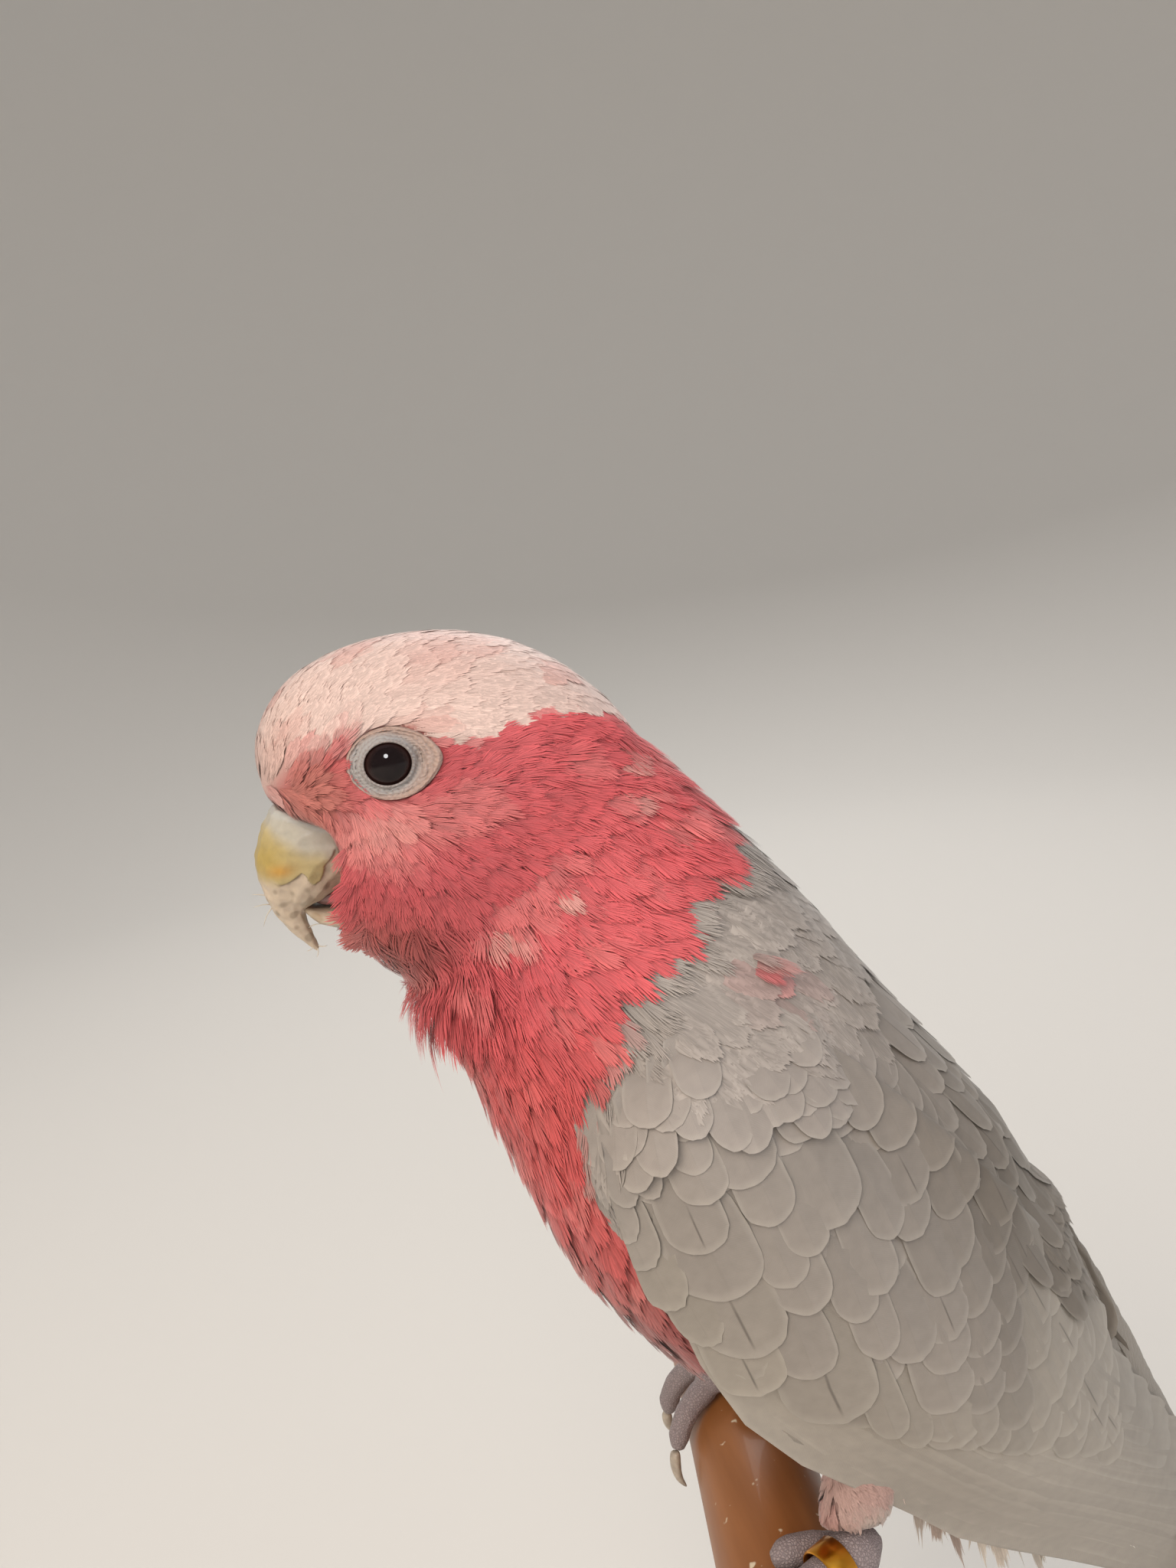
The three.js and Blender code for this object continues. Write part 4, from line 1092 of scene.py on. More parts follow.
def lay(lines, ups, half, rise, shape, cup=0.10, flat=0.5):
    """Bends one shape along many centre lines and gives all its vertices."""
    steps = len(lines) - 1
    side = unit(np.cross(ups, np.gradient(lines, axis=0)))
    places = np.empty((lines.shape[1], len(shape.across), 3))
    for j, (a, t, h) in enumerate(zip(shape.across, shape.along, shape.lift)):
        at = min(max(int(t * steps), 0), steps - 1)
        part = t * steps - at
        centre = lines[at] * (1 - part) + lines[at + 1] * part
        normal = ups[at] * (1 - part) + ups[at + 1] * part
        out = side[at] * (1 - part) + side[at + 1] * part
        own = (h - cup * a * a) * half
        height = rise * max(t, 0) ** flat - ROOT_SINK * max(1 - t, 0) ** 3 + own
        places[:, j] = centre + out * (a * half)[:, None] + normal * height[:, None]
    return places


SPINE = np.array([  # x, z along the middle of the body, from the bill to the tail
    (-74, 334), (-42, 334), (-18, 324), (0, 292), (22, 245), (48, 200), (88, 150), (146, 58)], float)


def unwrapped(roots):
    """Each root's place on the skin unrolled: u goes round the body, v along its spine."""
    flat = roots[:, (0, 2)] / MM
    lengths = np.linalg.norm(np.diff(SPINE, axis=0), axis=1)
    starts = np.concatenate([[0], np.cumsum(lengths)])
    best, along, off = np.full(len(flat), 1e9), np.zeros(len(flat)), np.zeros(len(flat))
    for i, length in enumerate(lengths):
        way = (SPINE[i + 1] - SPINE[i]) / length
        part = np.clip((flat - SPINE[i]) @ way, 0, length)
        gap = flat - SPINE[i] - part[:, None] * way
        far = np.linalg.norm(gap, axis=1)
        closer = far < best
        best = np.where(closer, far, best)
        along = np.where(closer, starts[i] + part, along)
        off = np.where(closer, gap @ np.array([-way[1], way[0]]), off)
    round_it = np.arctan2(roots[:, 1] / MM, off) / math.tau + 0.5
    return np.column_stack([round_it, along / starts[-1]])


TUFT_PATCH = 0.003  # how much of the map one feather takes


class Coat:
    """Feathers gathered into one joined mesh."""

    def __init__(self):
        self.places, self.corners, self.sizes, self.tints, self.lies, self.maps = [], [], [], [], [], []
        self.count = 0

    def add(self, places, shape, colours, roots, lies):
        """Adds feathers of one shape; lies holds the marks that the material reads as lie."""
        n, m = places.shape[:2]
        corners = np.array(shape.corners)
        starts = self.count + np.arange(n) * m
        self.places.append(places.reshape(-1, 3))
        self.corners.append((corners[None] + starts[:, None]).ravel())
        self.sizes.append(np.tile(shape.sizes, n))
        tints = colours[:, None] * np.array(shape.tone)[None, :, None]
        self.tints.append(np.clip(tints, 0, 1).reshape(-1, 3))
        self.lies.append(np.broadcast_to(lies, (n, m, 3)).reshape(-1, 3))
        patch = np.column_stack([np.array(shape.across) * 0.5, shape.along])[corners] * TUFT_PATCH
        self.maps.append((unwrapped(roots)[:, None] + patch[None]).reshape(-1, 2))
        self.count += n * m

    def finish(self, name, finish):
        """Makes the mesh, with its tints, marks and map, and shows it."""
        places, corners = np.concatenate(self.places), np.concatenate(self.corners)
        sizes = np.concatenate(self.sizes)
        mesh = bpy.data.meshes.new(name)
        mesh.vertices.add(len(places))
        mesh.vertices.foreach_set("co", places.ravel())
        mesh.loops.add(len(corners))
        mesh.loops.foreach_set("vertex_index", corners)
        mesh.polygons.add(len(sizes))
        mesh.polygons.foreach_set("loop_start", np.concatenate([[0], np.cumsum(sizes)[:-1]]))
        mesh.update(calc_edges=True)
        tinted(mesh, np.concatenate(self.tints))
        lie = mesh.attributes.new("lie", "FLOAT_VECTOR", "POINT")
        lie.data.foreach_set("vector", np.concatenate(self.lies).ravel())
        flat = np.concatenate(self.maps)
        low, high = flat.min(axis=0), flat.max(axis=0)
        layer = mesh.uv_layers.new(name="OFBake")
        layer.uv.foreach_set("vector", ((flat - low) / (high - low) * 0.98 + 0.01).ravel())
        placed(name, mesh, finish, "plumage")


# The loose barbs' keratin: each has painted shade along its two edges and a bump that rounds it, so that it
# reads as a hair, and the whole coat has the soft sheen of silk.
plume, shader = material("loose feather barbs", "#D05A5E", 0.6, Sheen_Weight=0.3)
shader.inputs["Sheen Roughness"].default_value = 0.45
tree = plume.node_tree
tint = node(tree, "ShaderNodeAttribute", attribute_name="tint").outputs["Color"]
lie = node(tree, "ShaderNodeAttribute", attribute_name="lie").outputs["Vector"]
marks = node(tree, "ShaderNodeSeparateXYZ", [("Vector", lie)])
edge = node(tree, "ShaderNodeMath", [
    (0, marks.outputs["X"]), (1, marks.outputs["X"])], operation="MULTIPLY")
shade = node(tree, "ShaderNodeMapRange", [
    ("Value", edge.outputs[0]), ("To Min", 1.04), ("To Max", 0.80)])
toned = node(tree, "ShaderNodeVectorMath", [(0, tint), ("Scale", shade.outputs[0])], operation="SCALE")
tree.links.new(toned.outputs[0], shader.inputs["Base Color"])
bump = node(tree, "ShaderNodeBump", [
    ("Height", edge.outputs[0]), ("Strength", 0.35), ("Distance", 0.00006)],
            invert=True)
tree.links.new(bump.outputs[0], shader.inputs["Normal"])

BODY = Skin(coat_guide, depth)

# Several shapes of each kind, so that no feather's neighbour looks the same.
SMOOTH = [barbed(seed, 7, 3.0, fan=0.9, uneven=0.08, stray=0.02, root_shade=1.0, loft=0.02)
          for seed in range(31, 36)]
COMBED = [barbed(seed, 10, 3.0, fan=0.9, uneven=0.05, stray=0.015, opening=0.6, root_shade=0.92, loft=0)
          for seed in range(57, 62)]
FANNED = [barbed(seed, fullness=1.35, root_shade=0.76) for seed in range(36, 42)]
FRAYED = [barbed(seed, fan=1.15, uneven=0.10, stray=0.07, fullness=1.0, root_shade=0.8) for seed in range(42, 47)]
DOWNY = [barbed(seed, fan=1.0, uneven=0.05, stray=0.03, fullness=2.2, root_shade=0.85, loft=0.05)
         for seed in range(47, 52)]
VEILED = [barbed(seed, 8, 4.2, fan=0.96, uneven=0.025, stray=0.01, opening=0.45, root_shade=0.98, loft=0)
          for seed in range(52, 57)]


def dress(name, where, gap_at, seed, shapes, long=5.2, wide=1.2, rise=1.0, turn=0.14, mottle=0.05,
          flat=0.5, table=LIE, bend=BEND_LIMIT, loose=(0.6, 1.1)):
    """Covers part of the skin with barbed feathers and joins them into one piece."""
    draw = np.random.default_rng(seed)
    roots, faces = scatter(BODY, gap_at, where, seed)
    gap = gap_at(roots)
    lengths = gap * long * MM * draw.uniform(0.8, 1.2, len(roots))
    turns = draw.normal(size=len(roots)) * turn
    lines, _ = creep(BODY, roots, lengths, table, turns, 4, bend)
    reach = in_ring(lines)
    share = np.ones(len(roots))
    for step in range(len(lines) - 1, 0, -1):
        fall = np.maximum(reach[step - 1] - reach[step], 1e-6)
        outside = (step - 1 + (reach[step - 1] - 1) / fall) / (len(lines) - 1)
        share = np.where(reach[step] < 1, outside, share)
    share = np.where(roots[:, 2] > 0.3, np.clip(share + draw.uniform(0.02, 0.26, len(share)), 0, 1), 1)
    pick = share > 0.22
    roots, faces, gap, turns, lengths = (v[pick] for v in (roots, faces, gap, turns, lengths * share))
    half = gap * wide * MM * draw.uniform(0.85, 1.15, len(roots)) * (0.35 + 0.65 * share[pick])
    depths = np.maximum(BODY.depths[faces], 0.35) * MM * rise * draw.uniform(*loose, len(roots))
    lines, ups = creep(BODY, roots, lengths, table, turns, 4, bend)
    colours = markings(lines[2]) * draw.normal(1, mottle, (len(roots), 1))
    choice = draw.integers(len(shapes), size=len(roots))
    coat = Coat()
    for index, shape in enumerate(shapes):
        pick = choice == index
        marks = np.array(shape.marks)
        lies = np.column_stack([marks[:, 0], shape.along, marks[:, 1]])[None]
        places = lay(lines[:, pick], ups[:, pick], half[pick], depths[pick], shape, flat=flat)
        coat.add(places, shape, colours[pick], roots[pick], lies)
    coat.finish(name, plume)


def even(gap):
    """A spacing that is the same everywhere, in mm."""
    return lambda places: np.full(len(places), gap)


x, y, z = BODY.centres.T / MM
from_bill = np.hypot(x - BILL_ROOT[0], z - BILL_ROOT[1])
wing_face = on_wing[BODY.corners].mean(axis=1) > 0.5
bare = in_ring(BODY.centres) < np.where(x > -50, 0.84, 1.0)
mouth = (x < -63.4) & (z > 303) & (z < 334.4) & (np.abs(y) < 10.5)
cap_line = np.interp(x, *zip(*CAP_EDGE))
grey_line = np.interp(z, *zip(*GREY_EDGE))
COVERT_TOP = [  # x, z along the upper limit of the firm coverts
    (-30, 270), (-28, 277), (-22, 284), (-10, 288), (4, 285), (18, 275), (34, 257), (50, 237),
    (66, 213), (84, 184), (98, 160), (124, 104)]
above_wing = z > np.interp(x, *zip(*COVERT_TOP)) - 3
WING_FRONT = [  # z, x along the wing's front edge, from below
    (100, 108), (132, 71), (147, 51), (159.4, 34), (167, 27.5), (177.5, 18.6), (186.4, 9.0),
    (194.7, -1.7), (201, -7.5), (208, -12.4), (219.6, -18.4), (232, -23), (244.6, -27), (262, -30),
    (278, -31), (290, -20)]
behind_edge = (x > np.interp(z, *zip(*WING_FRONT)) + 0.3) & (z < 288) & (np.abs(y) > 18)
is_head = (z > 290) & (x < 12) & (x < grey_line + 1) & ~bare & ~mouth
in_cap = is_head & (z > cap_line - 1)
on_rump = ((x > 48) & (x < 97) & (x > grey_line) & (np.abs(y) < 13) & (BODY.normals[:, 0] > 0.3)
           & ~wing_face)
is_grey = ((x > grey_line - 1) & (z > 165) & above_wing) | on_rump
is_back = is_grey & (x > 18) & (z < 300 - 0.5 * (x - 18)) & ((x < 56) | on_rump)
SOFT_EDGE = [  # x, z along the lowest roots of the soft shoulder coverts
    (-32, 274), (-27, 275), (-22, 279), (-12, 283), (2, 279), (18, 274), (30, 262), (44, 246),
    (60, 224), (76, 198), (90, 172)]
shoulder = wing_face | ((np.abs(y) > 26) & (x > -29) & (z < 287))
shoulder = shoulder & (z > np.interp(x, *zip(*SOFT_EDGE))) & (x < 58)
thighs = surface_tree("thigh_left", "thigh_right")
on_thigh = near(thighs, BODY.centres, 2.6 * MM) & ~wing_face & (z < 205)


def gap_head(places):
    """Feathers are smallest at the bill and the eye and grow towards the neck."""
    far = np.hypot(places[:, 0] / MM - BILL_ROOT[0], places[:, 2] / MM - BILL_ROOT[1])
    from_eye = np.clip(in_ring(places) - 1, 0, 5) * 8
    from_far = np.interp(far, [4, 20, 60, 110, 180], [0.9, 1.25, 1.9, 2.9, 3.6])
    return np.minimum(from_far, 0.95 + 0.12 * from_eye)


dress("coat_crown", in_cap, lambda p: 1.3 * gap_head(p), 41, COMBED, long=5.8, wide=1.15, turn=0.05,
      mottle=0.02, rise=0.55, flat=0.3, loose=(0.97, 1.03))
dress("coat_face", is_head & ~in_cap & (from_bill < 44), gap_head, 42, FANNED)
front = ~wing_face & ~is_grey & ~behind_edge
is_neck = (is_head & ~in_cap & (from_bill >= 44)) | (front & (z > 262) & (z <= 290))
dress("coat_neck", is_neck, gap_head, 43, FANNED, long=5.6, turn=0.12)
is_breast = front & ~on_thigh & (z > 175) & (z <= 262)
dress("coat_breast", is_breast, gap_head, 44, DOWNY, long=5.0, wide=1.25)
is_vent = ~wing_face & ~on_thigh & ~is_grey & (z <= 175) & (x < 88) & (BODY.normals[:, 0] < 0.6)
dress("coat_vent", is_vent, even(3.0), 45, DOWNY, long=5.5, wide=1.2)
dress("coat_thighs", on_thigh, even(1.05), 48, SMOOTH, long=6.5, wide=1.4, rise=0.5, turn=0.05,
      mottle=0.03, flat=0.3, bend=-1, loose=(0.95, 1.05))
is_mantle = is_grey & ~is_back & ~shoulder & ~wing_face & (x < 62)
dress("coat_mantle", is_mantle, even(2.8), 46, VEILED, long=7.5, wide=1.4, turn=0.10, flat=0.3,
      mottle=0.04, loose=(0.85, 1.1))
fleck = (spot(BODY.centres, (2.6, 296.2), (2.6, 1.5)) > 0.55) & (y < 0)
dress("coat_rose_fleck", fleck, even(1.1), 58, FANNED, long=6.5, rise=2.4, turn=0.1)

# The vent's long loose down hangs free of the skin.
TUFT_GAP, TUFT_LENGTH, TUFT_HALF, TUFT_RISE = 2.4, 30, 3.0, 0.8
TUFT_SHADE = 0.92  # painted shade: the loose down that hangs under the body is drawn darker than the vent above it
hanging = (~on_thigh & (BODY.normals[:, 2] < -0.15) & (x > 22) & (x < 56) & (z < 190)
           & (np.abs(y) < np.interp(x, [30, 56], [15, 5])))
draw = np.random.default_rng(57)
roots, faces = scatter(BODY, even(TUFT_GAP), hanging, 57)
count = len(roots)
outward = BODY.normals[faces]
leaving = unit(np.array((0.75, 0, -0.66)) + outward * (0.2, 0.1, 0.2) + draw.normal(size=(count, 3)) * 0.08)
clump = np.sin(roots[:, 0] / MM * 0.55 + 1.2 * np.sin(roots[:, 1] / MM * 0.4))  # neighbours hang together
falling = unit(np.array((0.16, 0, -1.0)) + outward * (0, 0.15, 0) + np.outer(clump, (0.16, 0, 0))
               + draw.normal(size=(count, 3)) * 0.07)
reach = (TUFT_LENGTH * MM * (1.02 + 0.25 * clump) * draw.uniform(0.7, 1.1, count))[:, None]
parts = [step / 6 for step in range(7)]
lines = np.array([roots + reach * (leaving * (t - 0.75 * t * t) + falling * 0.75 * t * t)
                  for t in parts])
runs = unit(np.gradient(lines, axis=0))
ups = unit(outward - runs * (runs * outward).sum(axis=2)[..., None])
choice = draw.integers(len(COMBED), size=count)
coat = Coat()
for index, shape in enumerate(COMBED):
    pick = choice == index
    marks = np.array(shape.marks)
    lies = np.column_stack([marks[:, 0], shape.along, marks[:, 1]])[None]
    places = lay(lines[:, pick], ups[:, pick], TUFT_HALF * MM * draw.uniform(0.8, 1.2, pick.sum()),
                 np.full(pick.sum(), TUFT_RISE * MM), shape)
    colours = markings(roots[pick]) * draw.normal(TUFT_SHADE, 0.05, (pick.sum(), 1))
    coat.add(places, shape, colours, roots[pick], lies)
coat.finish("coat_vent_tufts", plume)

# Ragged feathers under the bill, and the bristly ones that cover the corner of the mouth.
beard = ~wing_face & ~mouth & (x > -70) & (x < -43) & (z > 296) & (z < 316)
dress("coat_beard", beard, even(1.8), 47, FRAYED, long=6.5, wide=1.3, rise=2.0, turn=0.2)
GAPE_LIE = [  # x, z, dx, dz as in LIE
    (-66, 331, -0.30, -0.95), (-66, 325, -0.66, -0.75), (-65, 318, -0.88, -0.47),
    (-62, 311, -0.80, -0.60), (-62, 304, -0.55, -0.83)]
gape = ((x > -66.5) & (x < -60.5) & (z > 302) & (z < 331) & (np.abs(y) > 4)
        & (np.abs(BODY.normals[:, 1]) > 0.45))


def gap_gape(places):
    """The feathers at the corner of the mouth are smallest at its top."""
    return np.interp(places[:, 2] / MM, [305, 316, 322, 329], [1.2, 1.35, 1.3, 0.9])


dress("coat_gape", gape, gap_gape, 49, FANNED, long=6.9, wide=1.3, rise=1.3, turn=0.16,
      table=GAPE_LIE, bend=0.96)


# ---------------------------------------------------------------- the wings
# Firm grey vanes in overlapping rows, each with a paler rim: the long flight feathers
# lowest, then the greater coverts, and up to the shoulder smaller and rounder ones.

WING_LIE = [  # x, z, dx, dz as in LIE
    (-19, 286, 0.10, -0.99), (-26, 276, 0.14, -0.99), (-10, 294, 0.18, -0.98), (-10, 280, 0.18, -0.98),
    (3, 269, 0.30, -0.95), (16, 269, 0.28, -0.96), (33, 247, 0.25, -0.97), (-10, 237, 0.31, -0.95),
    (4, 226, 0.18, -0.98), (31, 210, 0.22, -0.97), (-22, 230, 0.36, -0.93), (-1, 205, 0.35, -0.93),
    (-15, 263, 0.22, -0.97), (2, 253, 0.24, -0.97), (17, 233, 0.20, -0.98), (-22, 252, 0.26, -0.96),
    (41, 188, 0.36, -0.92), (57, 247, 0.30, -0.95), (60, 200, 0.36, -0.92), (80, 170, 0.45, -0.88)]
VANE_COLUMNS = (-1, -0.96, -0.87, -0.74, -0.58, -0.4, -0.2, -0.045,
                0.045, 0.2, 0.4, 0.58, 0.74, 0.87, 0.96, 1)
COVERT_STEPS, FLIGHT_STEPS = (0, 0.4, 0.72, 1), [step / 12 for step in range(13)]


def vane(tip, root_width=0.5, seed=0, uneven=0.006, steps=COVERT_STEPS, tone_and_shade=(0.85, 1.0)):
    """A firm feather: strips of vane beside a shaft, ending on a rounded, slightly ragged outline. Its tone
    changes from halfway along to the tip: by default it is darker towards the base as painted shade under
    the feather above, and the flight feathers are given a real darker tip.
    """
    draw = np.random.default_rng(seed)
    shape = Shape()
    strips = []
    for c in VANE_COLUMNS:
        end = 1 - tip * (1 - math.sqrt(1 - c * c)) + draw.normal() * uneven * (abs(c) > 0.1)
        strips.append([shape.point(
            c * (root_width + (1 - root_width) * min(1.0, t * end / 0.4) ** 0.7), t * end,
            0.02 * (abs(c) < 0.1), np.interp(t * end, (0.5, 1), tone_and_shade), (c, t)) for t in steps])
    for left, right in zip(strips, strips[1:]):
        for i in range(len(steps) - 1):
            shape.face(left[i], right[i], right[i + 1], left[i + 1])
    return shape


# The firm vanes' keratin: fine slanting barbs, a darker shaft on some, and a paler rim.
BARB_GAP = 0.42  # mm between the barbs' ridges, coarser than the real ones so that they show
MOTTLE = 2.6  # mm across the faint smudges of worn feathers
DARK_SHAFT = 4.0  # added to a feather's across mark when its shaft shows dark
SHAFT_BROWN, RIM_PALE, RIM_STRENGTH = "#3E352E", "#CFC8BD", 0.16
firm, shader = material("firm grey feather vane", WING_GREY, 0.62, Sheen_Weight=0.2)
shader.inputs["Sheen Roughness"].default_value = 0.5
tree = firm.node_tree
tint = node(tree, "ShaderNodeAttribute", attribute_name="tint").outputs["Color"]
lie = node(tree, "ShaderNodeAttribute", attribute_name="lie").outputs["Vector"]
marks = node(tree, "ShaderNodeSeparateXYZ", [("Vector", lie)])
has_shaft = node(tree, "ShaderNodeMath", [
    (0, marks.outputs["X"]), (1, DARK_SHAFT / 2)], operation="GREATER_THAN")
moved = node(tree, "ShaderNodeMath", [(0, has_shaft.outputs[0]), (1, DARK_SHAFT)], operation="MULTIPLY")
across_vane = node(tree, "ShaderNodeMath", [
    (0, marks.outputs["X"]), (1, moved.outputs[0])], operation="SUBTRACT")
off_shaft = node(tree, "ShaderNodeMath", [(0, across_vane.outputs[0])], operation="ABSOLUTE")
shaft = node(tree, "ShaderNodeMapRange", [
    ("Value", off_shaft.outputs[0]), ("From Min", 0.045), ("From Max", 0.01),
    ("To Min", 0.0), ("To Max", 1.0)])
late = node(tree, "ShaderNodeMapRange", [
    ("Value", marks.outputs["Y"]), ("From Min", 0.5), ("From Max", 0.7)])
early = node(tree, "ShaderNodeMapRange", [
    ("Value", marks.outputs["Y"]), ("From Min", 0.96), ("From Max", 0.86)])
seen = node(tree, "ShaderNodeMath", [(0, late.outputs[0]), (1, early.outputs[0])], operation="MULTIPLY")
darkness = node(tree, "ShaderNodeMapRange", [
    ("Value", has_shaft.outputs[0]), ("To Min", 0.05), ("To Max", 0.6)])
strong = node(tree, "ShaderNodeMath", [
    (0, seen.outputs[0]), (1, darkness.outputs[0])], operation="MULTIPLY")
shaft_part = node(tree, "ShaderNodeMath", [
    (0, shaft.outputs[0]), (1, strong.outputs[0])], operation="MULTIPLY")
dark = node(tree, "ShaderNodeMix", [
    ("Factor", shaft_part.outputs[0]), ("A", tint), ("B", (*linear(SHAFT_BROWN), 1))], data_type="RGBA")
rim_tip = node(tree, "ShaderNodeMapRange", [
    ("Value", marks.outputs["Y"]), ("From Min", 0.92), ("From Max", 1.0)])
rim_side = node(tree, "ShaderNodeMapRange", [
    ("Value", off_shaft.outputs[0]), ("From Min", 0.84), ("From Max", 1.0)])
rim_share = node(tree, "ShaderNodeMath", [
    (0, rim_tip.outputs[0]), (1, rim_side.outputs[0])], operation="MAXIMUM")
rim_part = node(tree, "ShaderNodeMath", [
    (0, rim_share.outputs[0]), (1, RIM_STRENGTH)], operation="MULTIPLY")
pale = node(tree, "ShaderNodeMix", [
    ("Factor", rim_part.outputs[0]), ("A", dark.outputs["Result"]),
    ("B", (*linear(RIM_PALE), 1))], data_type="RGBA")
place = node(tree, "ShaderNodeTexCoord").outputs["Object"]
smudge = node(tree, "ShaderNodeTexNoise", [
    ("Vector", place), ("Scale", 1000 / MOTTLE), ("Detail", 4.0)])
worn = node(tree, "ShaderNodeMapRange", [
    ("Value", smudge.outputs["Fac"]), ("From Min", 0.3), ("From Max", 0.7),
    ("To Min", 0.94), ("To Max", 1.05)])
# The furrows between the barbs' ridges are painted a little darker, as shade beside the bump that raises
# the ridges.
ridges = node(tree, "ShaderNodeMath", [
    (0, marks.outputs["Z"]), (1, math.tau / BARB_GAP)], operation="MULTIPLY")
wave = node(tree, "ShaderNodeMath", [(0, ridges.outputs[0])], operation="SINE")
furrow_shade = node(tree, "ShaderNodeMapRange", [
    ("Value", wave.outputs[0]), ("From Min", -1.0), ("To Min", 0.985), ("To Max", 1.01)])
grown = node(tree, "ShaderNodeMath", [
    (0, worn.outputs[0]), (1, furrow_shade.outputs[0])], operation="MULTIPLY")
toned = node(tree, "ShaderNodeVectorMath", [
    (0, pale.outputs["Result"]), ("Scale", grown.outputs[0])], operation="SCALE")
tree.links.new(toned.outputs[0], shader.inputs["Base Color"])
bump = node(tree, "ShaderNodeBump", [
    ("Height", wave.outputs[0]), ("Strength", 0.06), ("Distance", 0.00005)])
tree.links.new(bump.outputs[0], shader.inputs["Normal"])


class Sheet:
    """A wing's outer face as a smooth height over the side view, carried on past its outline."""

    STEP, MARGIN = 3.0, 24.0
    LAPS, LAST_LAPS = 420, 6  # laps of smoothing, the last few over the wing itself too

    def __init__(self, name, side):
        low, high = (np.array(corner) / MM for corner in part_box(name))
        self.side, self.low = side, low[[0, 2]] - self.MARGIN
        counts = ((high[[0, 2]] + self.MARGIN - self.low) / self.STEP).astype(int) + 1
        wing = surface_tree(name)
        height = np.full(counts, np.nan)
        for i in range(counts[0]):
            for j in range(counts[1]):
                start = Vector((self.low[0] + i * self.STEP, side * 80, self.low[1] + j * self.STEP)) * MM
                hit = wing.ray_cast(start, Vector((0, -side, 0)))[0]
                if hit is not None:
                    height[i, j] = abs(hit.y) / MM
        known = ~np.isnan(height)
        wanted = np.where(known, height, np.nanmean(height))
        height = wanted
        for lap in range(self.LAPS):
            padded = np.pad(height, 1, mode="edge")
            height = (padded[:-2, 1:-1] + padded[2:, 1:-1] + padded[1:-1, :-2] + padded[1:-1, 2:]) / 4
            if lap < self.LAPS - self.LAST_LAPS:
                height = np.where(known, wanted, height)
        self.height = height

    def at(self, x, z):
        """The height in mm above each place of the side view."""
        u = np.clip((x - self.low[0]) / self.STEP, 0, self.height.shape[0] - 1.001)
        v = np.clip((z - self.low[1]) / self.STEP, 0, self.height.shape[1] - 1.001)
        i, j = u.astype(int), v.astype(int)
        u, v = u - i, v - j
        h = self.height
        return ((h[i, j] * (1 - u) + h[i + 1, j] * u) * (1 - v)
                + (h[i, j + 1] * (1 - u) + h[i + 1, j + 1] * u) * v)

    def raised(self, flat):
        """Places and normals on the sheet of side-view places (x, z in mm)."""
        x, z = flat[..., 0], flat[..., 1]
        y = self.at(x, z)
        slope_x = (self.at(x + 2, z) - self.at(x - 2, z)) / 4
        slope_z = (self.at(x, z + 2) - self.at(x, z - 2)) / 4
        normal = unit(np.stack([-slope_x, np.ones_like(x), -slope_z], axis=-1))
        turn = np.array([1, self.side, 1])
        return np.stack([x, y, z], axis=-1) * turn * MM, normal * turn


def spaced(points, count, inset=0.5, draw=None, jitter=0.0):
    """Places evenly spaced along a line of points, inset from its ends by a share of a gap."""
    points = np.array(points, float)
    along = np.concatenate([[0], np.cumsum(np.linalg.norm(np.diff(points, axis=0), axis=1))])
    at = (np.arange(count) + inset) / (count - 1 + 2 * inset)
    if draw is not None:
        at = at + draw.normal(size=count) * jitter / count
    return np.column_stack([np.interp(at * along[-1], along, points[:, i]) for i in (0, 1)])


LINE_STEPS = 6


def trailing(tips, lengths):
    """Side-view centre lines that end at the tips and lie the way the wing's feathers do."""
    line, here = [tips], tips
    for _ in range(LINE_STEPS):
        flat = np.column_stack([here[:, 0], np.zeros(len(here)), here[:, 1]]) * MM
        way = lie_of(WING_LIE, flat, np.tile((0.0, 1.0, 0.0), (len(here), 1)))[:, (0, 2)]
        here = here - way * (lengths / LINE_STEPS)[:, None]
        line.append(here)
    return np.array(line[::-1])


def lay_vanes(coat, sheet, flat, half, bottom, rise, shape, draw, colours, tilt=0.012, sink=0.0,
              shafts=None, cup=0.03):
    """Drapes firm feathers over the sheet along side-view lines; heights over it are in mm."""
    steps, count = len(flat) - 1, flat.shape[1]
    across, along, lift, marks = (
        np.array(v, float) for v in (shape.across, shape.along, shape.lift, shape.marks))
    at = np.clip((along * steps).astype(int), 0, steps - 1)
    part = (along * steps - at)[:, None, None]
    ways = np.gradient(flat, axis=0)
    way = unit(ways[at] * (1 - part) + ways[at + 1] * part)
    spread = flat[at] * (1 - part) + flat[at + 1] * part
    spread = spread + np.stack([-way[..., 1], way[..., 0]], axis=-1) * (across[:, None] * half)[..., None]
    front = np.interp(spread[..., 1], *zip(*WING_FRONT)) - np.interp(spread[..., 1], [262, 272], [1.2, 0.2])
    spread[..., 0] = np.maximum(spread[..., 0], front)
    spread[..., 1] = np.minimum(spread[..., 1], np.interp(spread[..., 0], *zip(*COVERT_TOP)) + 2)
    places, normals = sheet.raised(spread)
    height = (bottom + rise * along[:, None] ** 0.8 - sink * (1 - along[:, None]) ** 3
              + (lift - cup * across**2 - tilt * across * sheet.side)[:, None] * half)
    places = (places + normals * height[..., None] * MM).transpose(1, 0, 2)
    lengths = np.linalg.norm(np.diff(flat, axis=0), axis=2).sum(axis=0)
    slant = along[None] * lengths[:, None] - 0.8 * np.abs(across)[None] * half[:, None]
    shafts = np.zeros(count) if shafts is None else shafts
    lies = np.stack([marks[:, 0] + DARK_SHAFT * shafts[:, None],
                     np.broadcast_to(marks[:, 1], slant.shape), slant], axis=-1)
    coat.add(places, shape, colours * draw.normal(1, 0.03, (count, 1)), sheet.raised(flat[0])[0], lies)


def grey_at(tips):
    """The wing's colour at side-view places."""
    places = np.column_stack([tips[:, 0], np.full(len(tips), 40.0), tips[:, 1]]) * MM
    return markings(places, 0.3, 1.0)


